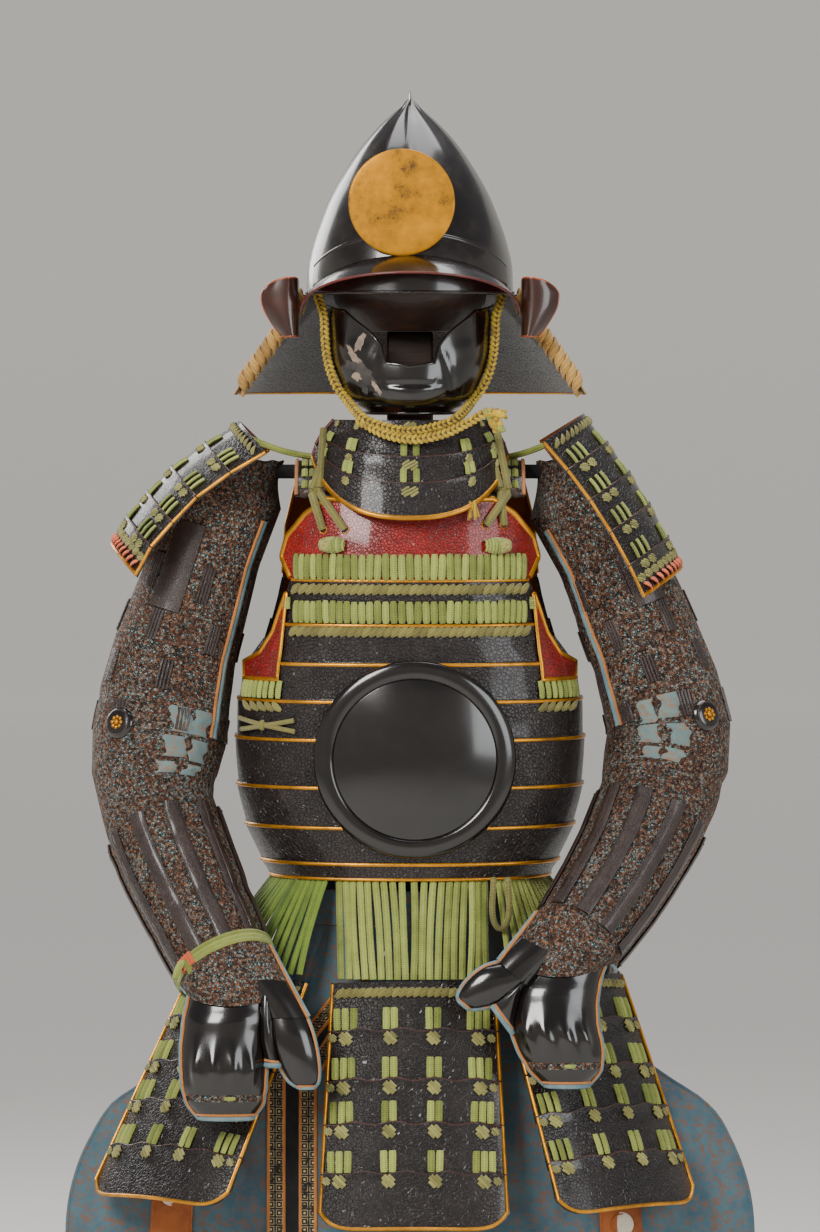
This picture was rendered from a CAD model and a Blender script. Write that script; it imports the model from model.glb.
"""Looks of a laced armour on its display stand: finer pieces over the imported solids, in one frame."""

import logging
import math
import random
from dataclasses import dataclass
from enum import Enum
from typing import Callable, Iterable, Optional, Sequence
import bmesh
import bpy
from mathutils import Matrix, Vector


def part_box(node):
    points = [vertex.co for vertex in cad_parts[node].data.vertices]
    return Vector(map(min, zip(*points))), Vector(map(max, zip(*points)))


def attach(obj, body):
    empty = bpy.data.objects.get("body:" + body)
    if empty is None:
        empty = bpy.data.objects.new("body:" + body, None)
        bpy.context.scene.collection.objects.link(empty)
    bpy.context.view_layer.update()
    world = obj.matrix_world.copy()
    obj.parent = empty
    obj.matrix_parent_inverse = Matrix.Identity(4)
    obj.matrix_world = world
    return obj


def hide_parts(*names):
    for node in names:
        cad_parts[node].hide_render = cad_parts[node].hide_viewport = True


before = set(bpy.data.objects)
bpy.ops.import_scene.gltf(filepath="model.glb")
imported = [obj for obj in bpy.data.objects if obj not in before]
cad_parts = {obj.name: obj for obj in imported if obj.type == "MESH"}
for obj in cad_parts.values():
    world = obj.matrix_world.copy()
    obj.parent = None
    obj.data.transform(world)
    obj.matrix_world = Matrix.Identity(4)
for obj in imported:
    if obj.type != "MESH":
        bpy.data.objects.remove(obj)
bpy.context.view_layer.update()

LOG = logging.getLogger("armour")
MM = 0.001
SEED = 41

# Tables of the sections, in millimetres, the front facing -Y

TORSO_POWER = 2.3
TORSO = (
    (690, 146, 110, 104),
    (712, 150, 113, 106),
    (735, 162, 119, 112),
    (775, 178, 126, 118),
    (843, 187, 131, 124),
    (905, 184, 130, 126),
    (945, 176, 129, 125),
    (990, 162, 129, 122),
    (1033, 152, 128, 117),
    (1080, 148, 122, 108),
    (1125, 144, 112, 98),
    (1160, 140, 104, 90),
)
BODY_LINES = (1033, 987, 945, 905, 864, 813, 770, 731)
FRONT_EDGE = (
    (945, 176), (955, 160), (978, 146), (1005, 137), (1033, 127), (1058, 138), (1080, 132), (1105, 112),
    (1121, 88),
)
BACK_EDGE = ((945, 176), (960, 160), (1000, 146), (1033, 138), (1090, 134), (1140, 122))
TASSET_TOP = 604
TASSET_LAMES = (0, 52, 105, 152, 205, 266)
TASSET_BULGE = 15
TASSETS = (
    ("centre", 4, -128, 0, 13, 0, 88, 102),
    ("front_left", -172, -74, -41, 28, -5, 86, 98),
    ("front_right", 162, -76, 40, 25, 0, 86, 98),
    ("side_left", -208, 62, -92, 12, 0, 76, 84),
    ("side_right", 208, 62, 92, 12, 0, 76, 84),
    ("back_left", -90, 140, -164, 11, 0, 80, 90),
    ("back_right", 90, 140, 164, 11, 0, 80, 90),
)
SUSPENSION = (
    ("centre", -29, 31, 19),
    ("front_left", -77, -33, 14),
    ("front_right", 35, 77, 14),
    ("side_left", -126, -81, 12),
    ("side_right", 81, 126, 12),
    ("back_left", -177, -130, 14),
    ("back_right", 130, 177, 14),
)
SLEEVE_LEFT = (
    (-200, 2, 1126, 63, 60),
    (-220, 2, 1062, 59, 62),
    (-238, 2, 1004, 63, 64),
    (-254, 0, 955, 67, 66),
    (-265, -4, 905, 71, 68),
    (-271, -11, 862, 73, 69),
    (-276, -22, 822, 68, 66),
    (-272, -37, 786, 61, 62),
    (-262, -54, 755, 62, 60),
    (-246, -78, 720, 60, 57),
    (-226, -106, 680, 57, 53),
    (-206, -134, 642, 54, 50),
    (-192, -154, 614, 50, 47),
)
SLEEVE_RIGHT = (
    (180, 2, 1122, 57, 56),
    (213, 2, 1060, 56, 60),
    (234, 2, 1010, 60, 64),
    (254, 0, 960, 62, 66),
    (270, -4, 915, 65, 68),
    (280, -11, 872, 67, 69),
    (277, -22, 836, 68, 66),
    (268, -37, 801, 64, 62),
    (254, -56, 768, 61, 59),
    (235, -82, 733, 58, 56),
    (212, -110, 698, 55, 52),
    (188, -137, 666, 52, 49),
    (170, -156, 643, 49, 46),
)
GUARD_HALF = 98
GUARD_LEFT = (
    (-152, 1168.7), (-190, 1146.7), (-226, 1120.7), (-252, 1093.7), (-275, 1067.7), (-292, 1036.7)
)
GUARD_RIGHT = ((140, 1180), (166, 1150), (190, 1118), (212, 1084), (232, 1048), (248, 1014))
BOWL_SHIFT = 8
BOWL = (
    (1340, 112, 126),
    (1372, 110, 123),
    (1398, 104, 116),
    (1424, 95, 106),
    (1450, 84, 94),
    (1476, 69, 78),
    (1502, 51, 58),
    (1524, 31, 36),
    (1540, 13, 15),
    (1552, 1, 1),
)
NECK_LAMES = (
    (1339.7, 1308, 112, 133), (1312, 1283, 131, 152), (1287, 1258, 150, 171), (1262, 1232, 169, 190)
)
NECK_SWEEP = 98
MASK = (
    (1212, 57, 96),
    (1224, 72, 114),
    (1242, 84, 123),
    (1264, 90, 122),
    (1290, 92, 117),
    (1312, 92, 114),
    (1333, 90, 110),
)
MASK_TOP = ((-84, 1328), (-50, 1322), (-30, 1302), (-21, 1288), (-17, 1266), (0, 1262),
            (17, 1266), (21, 1288), (30, 1302), (50, 1322), (84, 1328))
THROAT_SWEEP = 78
THROAT_RISE = 84
THROAT_POWER = 2.5
APRON = (
    (145, 356, 114, 34),
    (230, 366, 121, 34),
    (310, 371, 127, 34),
    (371, 366, 130, 30),
    (425, 347, 131, 28),
    (464, 322, 128, 28),
    (495, 276, 124, 28),
    (540, 216, 116, 30),
    (600, 166, 106, 34),
    (662, 128, 97, 34),
)
APRON_SLIT = -126


def mix(a: float, b: float, t: float) -> float:
    """Value between a and b.

    Args:
        a: value at t 0.
        b: value at t 1.
        t: share.

    Returns:
        The value at t.
    """
    return a + (b - a) * t


def clamp(value: float, low: float = 0.0, high: float = 1.0) -> float:
    """Value held between two limits.

    Args:
        value: any number.
        low: lowest result.
        high: highest result.

    Returns:
        The held value.
    """
    return max(low, min(high, value))


def signed_power(value: float, power: float) -> float:
    """Power that keeps the sign.

    Args:
        value: base.
        power: exponent.

    Returns:
        The signed power.
    """
    return math.copysign(abs(value) ** power, value)


def smooth(rows: Sequence[Sequence[float]], at: float, column: int) -> float:
    """Smooth value of a column, with the first column as the key, rising.

    Args:
        rows: table with rising keys.
        at: key.
        column: column number.

    Returns:
        The value at the key.
    """
    last = len(rows) - 1
    if at <= rows[0][0]:
        return rows[0][column]
    if at >= rows[last][0]:
        return rows[last][column]
    i = 0
    while at > rows[i + 1][0]:
        i += 1

    def slope(a: int, b: int) -> float:
        return (rows[b][column] - rows[a][column]) / (rows[b][0] - rows[a][0])

    span = rows[i + 1][0] - rows[i][0]
    inner = slope(i, i + 1)
    before = inner
    after = inner
    if i > 0:
        side = slope(i - 1, i)
        before = (side + inner) / 2 if side * inner > 0 else 0.0
    if i + 2 <= last:
        side = slope(i + 1, i + 2)
        after = (side + inner) / 2 if side * inner > 0 else 0.0
    t = (at - rows[i][0]) / span
    return (
        (2 * t**3 - 3 * t**2 + 1) * rows[i][column]
        + (t**3 - 2 * t**2 + t) * span * before
        + (3 * t**2 - 2 * t**3) * rows[i + 1][column]
        + (t**3 - t**2) * span * after
    )


def straight(rows: Sequence[Sequence[float]], at: float, column: int = 1) -> float:
    """Straight value of a column, with the first column as the key, rising.

    Args:
        rows: table with rising keys.
        at: key.
        column: column number.

    Returns:
        The value at the key.
    """
    if at <= rows[0][0]:
        return rows[0][column]
    if at >= rows[-1][0]:
        return rows[-1][column]
    i = 0
    while at > rows[i + 1][0]:
        i += 1
    return mix(rows[i][column], rows[i + 1][column], (at - rows[i][0]) / (rows[i + 1][0] - rows[i][0]))


# Surfaces: each gives a point in millimetres, moved out

Place = Callable[[float, float, float], Vector]
Material = bpy.types.Material


def body_point(z: float, angle: float, out: float) -> Vector:
    """Point of the body section.

    Args:
        z: height.
        angle: round from the front, in radians.
        out: outward move.

    Returns:
        The point.
    """
    half = smooth(TORSO, z, 1)
    depth = smooth(TORSO, z, 2 if math.cos(angle) >= 0 else 3)
    power = 2 / TORSO_POWER
    x = half * signed_power(math.sin(angle), power)
    y = -depth * signed_power(math.cos(angle), power)
    normal = Vector((
        signed_power(x, TORSO_POWER - 1) / half**TORSO_POWER,
        signed_power(y, TORSO_POWER - 1) / depth**TORSO_POWER,
        0,
    ))
    normal.normalize()
    return Vector((x, y, z)) + normal * out


def body_place(angle: float, z: float, out: float) -> Vector:
    """Point of the body armour, with its angle first as Trim asks.

    Args:
        angle: round the body from its front, in radians.
        z: height.
        out: outward move.

    Returns:
        The point.
    """
    return body_point(z, angle, out)


def body_angle(z: float, x: float) -> float:
    """Angle round the body of a place across the front.

    Args:
        z: height.
        x: place across.

    Returns:
        The angle in radians.
    """
    share = min(1.0, abs(x) / smooth(TORSO, z, 1))
    return math.copysign(math.asin(share ** (TORSO_POWER / 2)), x)


def front_point(x: float, z: float, out: float) -> Vector:
    """Point of the body's front at a place across.

    Args:
        x: place across.
        z: height.
        out: outward move.

    Returns:
        The point.
    """
    return body_point(z, body_angle(z, x), out)


def bowl_point(z: float, angle: float, out: float) -> Vector:
    """Point of the helmet bowl.

    Args:
        z: height.
        angle: round from the front.
        out: outward move.

    Returns:
        The point.
    """
    half = smooth(BOWL, z, 1) + out
    deep = smooth(BOWL, z, 2) + out
    return Vector((half * math.sin(angle), BOWL_SHIFT - deep * math.cos(angle), z))


def mask_point(z: float, angle: float, out: float) -> Vector:
    """Point of the half mask.

    Args:
        z: height.
        angle: round from the front.
        out: outward move.

    Returns:
        The point.
    """
    half = smooth(MASK, z, 1) + out
    front = smooth(MASK, z, 2) + out
    return Vector((half * math.sin(angle), -front * math.cos(angle), z))


def apron_point(z: float, x: float, out: float) -> Vector:
    """Point of the thigh apron.

    Args:
        z: height.
        x: place across.
        out: outward move.

    Returns:
        The point.
    """
    half = smooth(APRON, z, 1)
    front = smooth(APRON, z, 2)
    edge = smooth(APRON, z, 3)
    share = min(1.0, abs(x) / half)
    fall = (662 - z) / (662 - 145)
    fold = 5 * fall * math.cos(x / 26) * (1 - share)
    crease = 0.0
    for place, lean, wide, deep, low, high in APRON_CREASES:
        centre = place + lean * (400 - z)
        span = clamp((high - z) / 60) * clamp((z - low) / 60)
        crease += deep * span * math.exp(-(((x - centre) / wide) ** 2))
    y = -(front - (front - edge) * share**2.2 + fold)
    slope = 2.2 * (front - edge) * share**1.2 / half
    normal = Vector((math.copysign(slope, x), -1, 0)).normalized()
    return Vector((x, y, z)) + normal * (out + crease)


# Creases of the apron: place across, lean, width, depth, from and to height
APRON_CREASES = (
    (-340, -0.10, 9, -2.6, 120, 520),
    (-312, -0.22, 7, 2.2, 160, 470),
    (-288, -0.05, 11, -2.2, 100, 430),
    (-215, 0.06, 12, 2.4, 110, 520),
    (-180, -0.04, 8, -2.2, 150, 560),
    (60, 0.10, 14, 2.4, 100, 400),
    (120, 0.02, 9, -2.4, 150, 520),
    (150, 0.08, 12, 2.0, 100, 460),
    (268, 0.16, 9, -2.4, 160, 470),
    (300, 0.10, 12, 2.4, 110, 430),
    (335, 0.22, 8, -2.4, 130, 500),
)


@dataclass(frozen=True)
class TassetFrame:
    """Frame of one tasset: its place, facing, splay, roll and half widths."""

    name: str
    x: float
    y: float
    facing: float
    splay: float
    roll: float
    top: float
    bottom: float

    def axes(self) -> tuple:
        """Directions of the tasset.

        Returns:
            Down, across and outward.
        """
        facing = math.radians(self.facing)
        across = Vector((math.cos(facing), math.sin(facing), 0))
        outward = Vector((math.sin(facing), -math.cos(facing), 0))
        splay = math.radians(self.splay)
        down = Vector((0, 0, -math.cos(splay))) + outward * math.sin(splay)
        down = (down + across * math.sin(math.radians(self.roll))).normalized()
        normal = down.cross(across).normalized()
        if normal.dot(outward) < 0:
            normal.negate()
        return down, across, normal

    def place(self, at: float, share: float, out: float) -> Vector:
        """Point of the tasset.

        Args:
            at: distance down.
            share: place across, from -1 to 1.
            out: outward move.

        Returns:
            The point.
        """
        down, across, normal = self.axes()
        half = mix(self.top, self.bottom, max(0.0, at) / TASSET_LAMES[-1])
        bulge = TASSET_BULGE * (1 - share * share)
        return Vector(
            (self.x, self.y, TASSET_TOP)
        ) + down * at + across * (half * share) + normal * (bulge + out)


@dataclass(frozen=True)
class Tube:
    """Sleeve form: rings square to a bent centre line."""

    rows: Sequence[Sequence[float]]

    def centre(self, t: float) -> Vector:
        """Point of the centre line.

        Args:
            t: share of the rings, from 0 to 1.

        Returns:
            The point.
        """
        at = t * (len(self.rows) - 1)
        keyed = [(i, *row) for i, row in enumerate(self.rows)]
        return Vector((smooth(keyed, at, 1), smooth(keyed, at, 2), smooth(keyed, at, 3)))

    def place(self, angle: float, t: float, out: float) -> Vector:
        """Point of the tube.

        Args:
            angle: round the tube from its outer side, in radians.
            t: share of the rings, from 0 to 1.
            out: outward move.

        Returns:
            The point.
        """
        at = clamp(t) * (len(self.rows) - 1)
        low = min(int(at), len(self.rows) - 2)
        part = at - low
        points = []
        for i in (low, low + 1):
            before = Vector(self.rows[max(0, i - 1)][:3])
            after = Vector(self.rows[min(len(self.rows) - 1, i + 1)][:3])
            along = (after - before).normalized()
            wide = Vector((0, 1, 0)).cross(along).normalized()
            deep = along.cross(wide).normalized()
            row = self.rows[i]
            centre = Vector(row[:3])
            across = wide * ((row[3] + out) * math.cos(angle))
            points.append(centre + across + deep * ((row[4] + out) * math.sin(angle)))
        return points[0].lerp(points[1], part)


# Meshes


class Maker:
    """Builds one piece in a bmesh, in millimetres, with a uv map and a tint for each strand."""

    def __init__(self, name: str) -> None:
        self.name = name
        self.bm = bmesh.new()
        self.uv = self.bm.loops.layers.uv.new("UVMap")
        self.tint = self.bm.verts.layers.float.new("tint")
        self.slots: list = []

    def slot_of(self, material: Material) -> int:
        """Number of a material in this piece.

        Args:
            material: material to find or add.

        Returns:
            Its slot number.
        """
        if material not in self.slots:
            self.slots.append(material)
        return self.slots.index(material)

    def grid(
        self,
        nu: int,
        nv: int,
        place: Callable[[float, float], Vector],
        material: Material,
        tint: float = 0.5,
        size: tuple = (1.0, 1.0),
    ) -> list:
        """Sheet of faces through a function.

        Args:
            nu: faces across.
            nv: faces down.
            place: point from two shares.
            material: finish.
            tint: shade of this strand or panel.
            size: length of the uv map each way.

        Returns:
            The new vertices.
        """
        made = bmesh.ops.create_grid(self.bm, x_segments=nu, y_segments=nv, size=1.0)["verts"]
        shares = {vert: ((vert.co.x + 1) / 2, (vert.co.y + 1) / 2) for vert in made}
        number = self.slot_of(material)
        faces = {face for vert in made for face in vert.link_faces}
        for face in faces:
            face.material_index = number
            face.smooth = True
            for loop in face.loops:
                u, v = shares[loop.vert]
                loop[self.uv].uv = (u * size[0], v * size[1])
        for vert, (u, v) in shares.items():
            vert.co = place(u, v) * MM
            vert[self.tint] = tint
        return made

    def weld(self, verts: Iterable, distance: float = 0.004) -> None:
        """Joins vertices that meet.

        Args:
            verts: vertices to look at.
            distance: largest gap in millimetres.
        """
        bmesh.ops.remove_doubles(self.bm, verts=list(verts), dist=distance * MM)

    def shell(
        self,
        nu: int,
        nv: int,
        outer: Callable[[float, float], Vector],
        inner: Callable[[float, float], Vector],
        material: Material,
        back: Optional[Material] = None,
        ring: bool = False,
        tint: float = 0.5,
        size: tuple = (1.0, 1.0),
    ) -> None:
        """Closed wall between two sheets.

        Args:
            nu: faces across.
            nv: faces down.
            outer: outer points.
            inner: inner points.
            material: outer finish.
            back: inner finish, if it differs.
            ring: the wall closes round.
            tint: shade of this panel.
            size: length of the uv map each way.
        """
        rear = back or material
        verts = list(self.grid(nu, nv, outer, material, tint, size))
        verts += self.grid(nu, nv, inner, rear, tint, size)
        edges = (0.0, 1.0)
        for v in edges:
            verts += self.grid(
                nu, 1, lambda u, t, v=v: outer(u, v).lerp(inner(u, v), t), material, tint, (size[0], 0.01)
            )
        if not ring:
            for u in edges:
                verts += self.grid(
                    1, nv, lambda t, v, u=u: outer(u, v).lerp(inner(u, v), t), material, tint,
                    (0.01, size[1]),
                )
        self.weld(verts)

    def leaf(
        self,
        nu: int,
        nv: int,
        place: Place,
        high: float,
        low: float,
        material: Material,
        back: Optional[Material] = None,
        ring: bool = False,
        tint: float = 0.5,
        size: tuple = (1.0, 1.0),
    ) -> None:
        """Closed wall between two moves of one surface.

        Args:
            nu: faces across.
            nv: faces down.
            place: point from two shares and a move.
            high: move of the outer sheet.
            low: move of the inner sheet.
            material: outer finish.
            back: inner finish, if it differs.
            ring: the wall closes round.
            tint: shade of this panel.
            size: length of the uv map each way.
        """

        def outer(u: float, v: float) -> Vector:
            return place(u, v, high)

        def inner(u: float, v: float) -> Vector:
            return place(u, v, low)

        self.shell(nu, nv, outer, inner, material, back, ring, tint, size)

    def strand(
        self,
        points: Sequence[Vector],
        normals: Sequence[Vector],
        wide: float,
        thick: float,
        material: Material,
        tint: float = 0.5,
        sides: int = 8,
        taper: float = 0.0,
        closed: bool = False,
        turns: float = 0.1,
    ) -> None:
        """Cord, tube or strip along points.

        Args:
            points: centre line.
            normals: outward direction at each point.
            wide: width across.
            thick: thickness along the normals.
            material: finish.
            tint: shade of this strand.
            sides: faces round.
            taper: share of the ends that narrows.
            closed: the line meets itself.
            turns: uv length for each millimetre.
        """
        count = len(points)
        frames = []
        for i, point in enumerate(points):
            before = points[i - 1] if (closed or i > 0) else point
            after = points[(i + 1) % count] if (closed or i < count - 1) else point
            along = (after - before).normalized()
            side = along.cross(normals[i]).normalized()
            up = side.cross(along).normalized()
            frames.append((point, side, up))
        if closed:
            frames.append(frames[0])
        last = len(frames) - 1
        length = sum((frames[i + 1][0] - frames[i][0]).length for i in range(last))

        def place(u: float, v: float) -> Vector:
            i = round(v * last)
            centre, side, up = frames[i]
            angle = 2 * math.pi * u
            share = 1.0
            if not closed:
                end = min(v, 1 - v)
                share = 0.0 if i in (0, last) else (math.sqrt(clamp(end / taper)) if taper > 0 else 1.0)
            return centre + side * (wide / 2 * share * math.cos(angle)) + up * (
                thick / 2 * share * math.sin(angle)
            )

        if not closed:
            first = frames[0][0] - (frames[0][0] - frames[1][0]) * 0.04
            final = frames[last][0] - (frames[last][0] - frames[last - 1][0]) * 0.04
            frames.insert(1, (first, frames[0][1], frames[0][2]))
            frames.insert(last + 1, (final, frames[-1][1], frames[-1][2]))
            last += 2
        verts = self.grid(sides, last, place, material, tint, (1.0, length * turns))
        self.weld(verts)

    def bead(
        self,
        centre: Vector,
        normal: Vector,
        along: Vector,
        size: tuple,
        material: Material,
        tint: float = 0.5,
        detail: int = 8,
    ) -> None:
        """Rounded knot, stud or boss.

        Args:
            centre: middle.
            normal: outward direction.
            along: direction of the first size.
            size: length, width and height.
            material: finish.
            tint: shade.
            detail: faces round.
        """
        side = normal.cross(along).normalized()
        turn = Matrix((along.normalized(), side, normal.normalized())).transposed().to_4x4()
        scale = Matrix.Diagonal((size[0] / 2 * MM, size[1] / 2 * MM, size[2] / 2 * MM, 1))
        matrix = Matrix.Translation(centre * MM) @ turn @ scale
        made = bmesh.ops.create_uvsphere(
            self.bm, u_segments=detail, v_segments=max(4, detail // 2 + 1), radius=1, matrix=matrix,
            calc_uvs=True,
        )
        number = self.slot_of(material)
        for vert in made["verts"]:
            vert[self.tint] = tint
            for face in vert.link_faces:
                face.material_index = number
                face.smooth = True

    def ring(
        self, centre: Vector, normal: Vector, radius: float, thick: float, material: Material,
        sides: int = 28,
    ) -> None:
        """Round ring of wire.

        Args:
            centre: middle.
            normal: axis.
            radius: to the middle of the wire.
            thick: of the wire.
            material: finish.
            sides: faces round the ring.
        """
        first = normal.orthogonal().normalized()
        second = normal.cross(first).normalized()
        points = [
            centre + first * (
                radius * math.cos(2 * math.pi * i / sides)
            ) + second * (radius * math.sin(2 * math.pi * i / sides))
            for i in range(sides)
        ]
        self.strand(points, [normal] * sides, thick, thick, material, closed=True, sides=8)

    def finish(
        self, replaces: Sequence[str] = (), slot: str = "", sharp: float = 45.0,
    ) -> "bpy.types.Object":
        """Makes the object, riding on the root body.

        Args:
            replaces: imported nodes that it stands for.
            slot: material slot of the record.
            sharp: angle over which edges stay sharp, in degrees.

        Returns:
            The object.
        """
        bmesh.ops.recalc_face_normals(self.bm, faces=self.bm.faces)
        name = self.name.replace(" ", "_").replace("-", "_")
        mesh = bpy.data.meshes.new(name)
        self.bm.to_mesh(mesh)
        self.bm.free()
        for material in self.slots:
            mesh.materials.append(material)
        mesh.set_sharp_from_angle(angle=math.radians(sharp))
        obj = bpy.data.objects.new(name, mesh)
        bpy.context.scene.collection.objects.link(obj)
        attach(obj, "root")
        if replaces:
            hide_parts(*replaces)
        return obj


# Shader graphs


class Look(Enum):
    """Coordinates that a finish is laid out on."""

    OBJECT = "Object"
    UV = "UV"


class Sock:
    """A socket with overloaded operators for shader maths."""

    def __init__(self, graph: "Graph", value: object) -> None:
        self.graph = graph
        self.value = value

    def _math(self, operation: str, *parts: object) -> "Sock":
        node = self.graph.node("ShaderNodeMath", {"operation": operation}, dict(enumerate(parts)))
        return Sock(self.graph, node.outputs[0])

    def __add__(self, other: object) -> "Sock":
        return self._math("ADD", self, other)

    def __radd__(self, other: object) -> "Sock":
        return self._math("ADD", other, self)

    def __sub__(self, other: object) -> "Sock":
        return self._math("SUBTRACT", self, other)

    def __rsub__(self, other: object) -> "Sock":
        return self._math("SUBTRACT", other, self)

    def __mul__(self, other: object) -> "Sock":
        return self._math("MULTIPLY", self, other)

    def __rmul__(self, other: object) -> "Sock":
        return self._math("MULTIPLY", other, self)

    def __truediv__(self, other: object) -> "Sock":
        return self._math("DIVIDE", self, other)

    def __rtruediv__(self, other: object) -> "Sock":
        return self._math("DIVIDE", other, self)

    def power(self, other: object) -> "Sock":
        """Power of this value."""
        return self._math("POWER", self, other)

    def sin(self) -> "Sock":
        """Sine of this value."""
        return self._math("SINE", self)

    def fract(self) -> "Sock":
        """Part after the point."""
        return self._math("FRACT", self)

    def floor(self) -> "Sock":
        """Whole part."""
        return self._math("FLOOR", self)

    def abs(self) -> "Sock":
        """Value without its sign."""
        return self._math("ABSOLUTE", self)

    def below(self, other: object) -> "Sock":
        """One where this value is below the other."""
        return self._math("LESS_THAN", self, other)

    def least(self, other: object) -> "Sock":
        """Smaller of the two."""
        return self._math("MINIMUM", self, other)

    def most(self, other: object) -> "Sock":
        """Larger of the two."""
        return self._math("MAXIMUM", self, other)

    def ramp(self, low: float, high: float) -> "Sock":
        """Soft step from low to high."""
        node = self.graph.node(
            "ShaderNodeMapRange",
            {"interpolation_type": "SMOOTHSTEP"},
            {"Value": self, "From Min": low, "From Max": high},
        )
        return Sock(self.graph, node.outputs[0])


class Graph:
    """Node graph of one material."""

    def __init__(self, name: str) -> None:
        self.material = bpy.data.materials.new(name)
        self.material.use_nodes = True
        self.tree = self.material.node_tree
        self.tree.nodes.clear()
        self.out = self.tree.nodes.new("ShaderNodeOutputMaterial")
        self.shader = self.tree.nodes.new("ShaderNodeBsdfPrincipled")
        self.tree.links.new(self.shader.outputs[0], self.out.inputs["Surface"])

    def node(
        self, kind: str, settings: Optional[dict] = None, inputs: Optional[dict] = None,
    ) -> "bpy.types.Node":
        """Adds a node.

        Args:
            kind: node type.
            settings: properties to set.
            inputs: values or sockets by input name or number.

        Returns:
            The node.
        """
        made = self.tree.nodes.new(kind)
        for key, value in (settings or {}).items():
            setattr(made, key, value)
        for key, value in (inputs or {}).items():
            self.feed(made.inputs[key], value)
        return made

    def feed(self, socket: "bpy.types.NodeSocket", value: object) -> None:
        """Links or sets an input.

        Args:
            socket: the input.
            value: a number, a colour or a Sock.
        """
        if isinstance(value, Sock):
            self.tree.links.new(value.value, socket)
        else:
            socket.default_value = value

    def coords(self, look: Look, scale: tuple = (1.0, 1.0, 1.0), turn: tuple = (0.0, 0.0, 0.0)) -> Sock:
        """Mapped coordinates.

        Args:
            look: kind of coordinates.
            scale: scale each way.
            turn: turn each way, in radians.

        Returns:
            The vector.
        """
        source = self.node("ShaderNodeTexCoord")
        mapping = self.node(
            "ShaderNodeMapping", None,
            {0: Sock(self, source.outputs[look.value]), "Scale": scale, "Rotation": turn},
        )
        return Sock(self, mapping.outputs[0])

    def axes(self, vector: Sock) -> tuple:
        """Parts of a vector."""
        node = self.node("ShaderNodeSeparateXYZ", None, {0: vector})
        return tuple(Sock(self, out) for out in node.outputs)

    def noise(
        self, vector: Sock, scale: float, detail: float = 3.0, rough: float = 0.55, warp: float = 0.0,
    ) -> Sock:
        """Fractal noise."""
        node = self.node(
            "ShaderNodeTexNoise",
            None,
            {"Vector": vector, "Scale": scale, "Detail": detail, "Roughness": rough, "Distortion": warp},
        )
        return Sock(self, node.outputs[0])

    def cells(self, vector: Sock, scale: float, feature: str = "F1", random: float = 1.0) -> Sock:
        """Distance in a cell pattern."""
        node = self.node(
            "ShaderNodeTexVoronoi", {"feature": feature},
            {"Vector": vector, "Scale": scale, "Randomness": random},
        )
        return Sock(self, node.outputs["Distance"])

    def attribute(self, name: str) -> Sock:
        """Value of a named attribute."""
        node = self.node("ShaderNodeAttribute", {"attribute_name": name})
        return Sock(self, node.outputs["Fac"])

    def blend(self, share: object, first: object, second: object, mode: str = "MIX") -> Sock:
        """Mix of two colours."""
        node = self.node("ShaderNodeMix", {"data_type": "RGBA", "blend_type": mode})
        self.feed(node.inputs[0], share)
        self.feed(node.inputs[6], colour(first))
        self.feed(node.inputs[7], colour(second))
        return Sock(self, node.outputs[2])

    def bump(
        self, height: Sock, distance: float, strength: float = 1.0, normal: Optional[Sock] = None,
    ) -> Sock:
        """Bumped normal.

        Args:
            height: height from 0 to 1.
            distance: depth in millimetres.
            strength: share of the bump.
            normal: bump below this one.

        Returns:
            The normal.
        """
        inputs = {"Height": height, "Distance": distance * MM, "Strength": strength}
        if normal is not None:
            inputs["Normal"] = normal
        node = self.node("ShaderNodeBump", None, inputs)
        return Sock(self, node.outputs[0])

    def surface(self, **values: object) -> Material:
        """Feeds the surface shader.

        Args:
            values: inputs by name, with spaces as underscores.

        Returns:
            The material.
        """
        for key, value in values.items():
            name = key.replace("_", " ")
            self.feed(self.shader.inputs[name], colour(value))
        return self.material


def colour(value: object) -> object:
    """Linear colour of three screen values; other values pass.

    Args:
        value: a triple, or anything else.

    Returns:
        The colour or the value.
    """
    if isinstance(value, tuple) and len(value) == 3:
        return tuple(c / 12.92 if c <= 0.04045 else ((c + 0.055) / 1.055) ** 2.4 for c in value) + (1.0,)
    return value


# Finishes


@dataclass(frozen=True)
class CordFinish:
    """Braided cord: two shades, with a braid and some wear."""

    name: str
    light: tuple
    dark: tuple
    braid: float = 3.4
    worn: float = 0.35
    rough: float = 0.82
    strands: float = 3.0

    def make(self) -> Material:
        """Builds the material.

        Returns:
            The material.
        """
        g = Graph(self.name)
        u, v, _ = g.axes(g.coords(Look.UV))
        body = g.coords(Look.OBJECT)
        tint = g.attribute("tint")
        turn = u * (2 * math.pi * self.strands)
        pitch = v * (2 * math.pi * 10.0 / self.braid)
        strands = (turn + pitch).sin() * (turn - pitch).sin()
        relief = strands * 0.5 + 0.5
        fine = g.noise(body, 1400.0, 3.0, 0.7)
        patch = g.noise(body, 38.0, 4.0, 0.6)
        tone = (tint * 0.55 + patch * 0.75 - 0.15 + fine * 0.18).ramp(0.12, 0.95)
        base = g.blend(tone, self.dark, self.light)
        shade = g.blend(relief.ramp(0.0, 0.65) * 0.62 + 0.38, (0.09, 0.085, 0.04), (1.0, 1.0, 1.0))
        base = g.blend(0.6, base, shade, "MULTIPLY")
        wear = g.noise(body, 95.0, 5.0, 0.72).ramp(0.56, 0.76) * self.worn
        base = g.blend(wear, base, (0.30, 0.24, 0.12))
        normal = g.bump(relief + fine * 0.35, 0.7)
        return g.surface(
            Base_Color=base, Roughness=self.rough, Normal=normal, Sheen_Weight=0.25, Sheen_Roughness=0.5
        )


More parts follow.
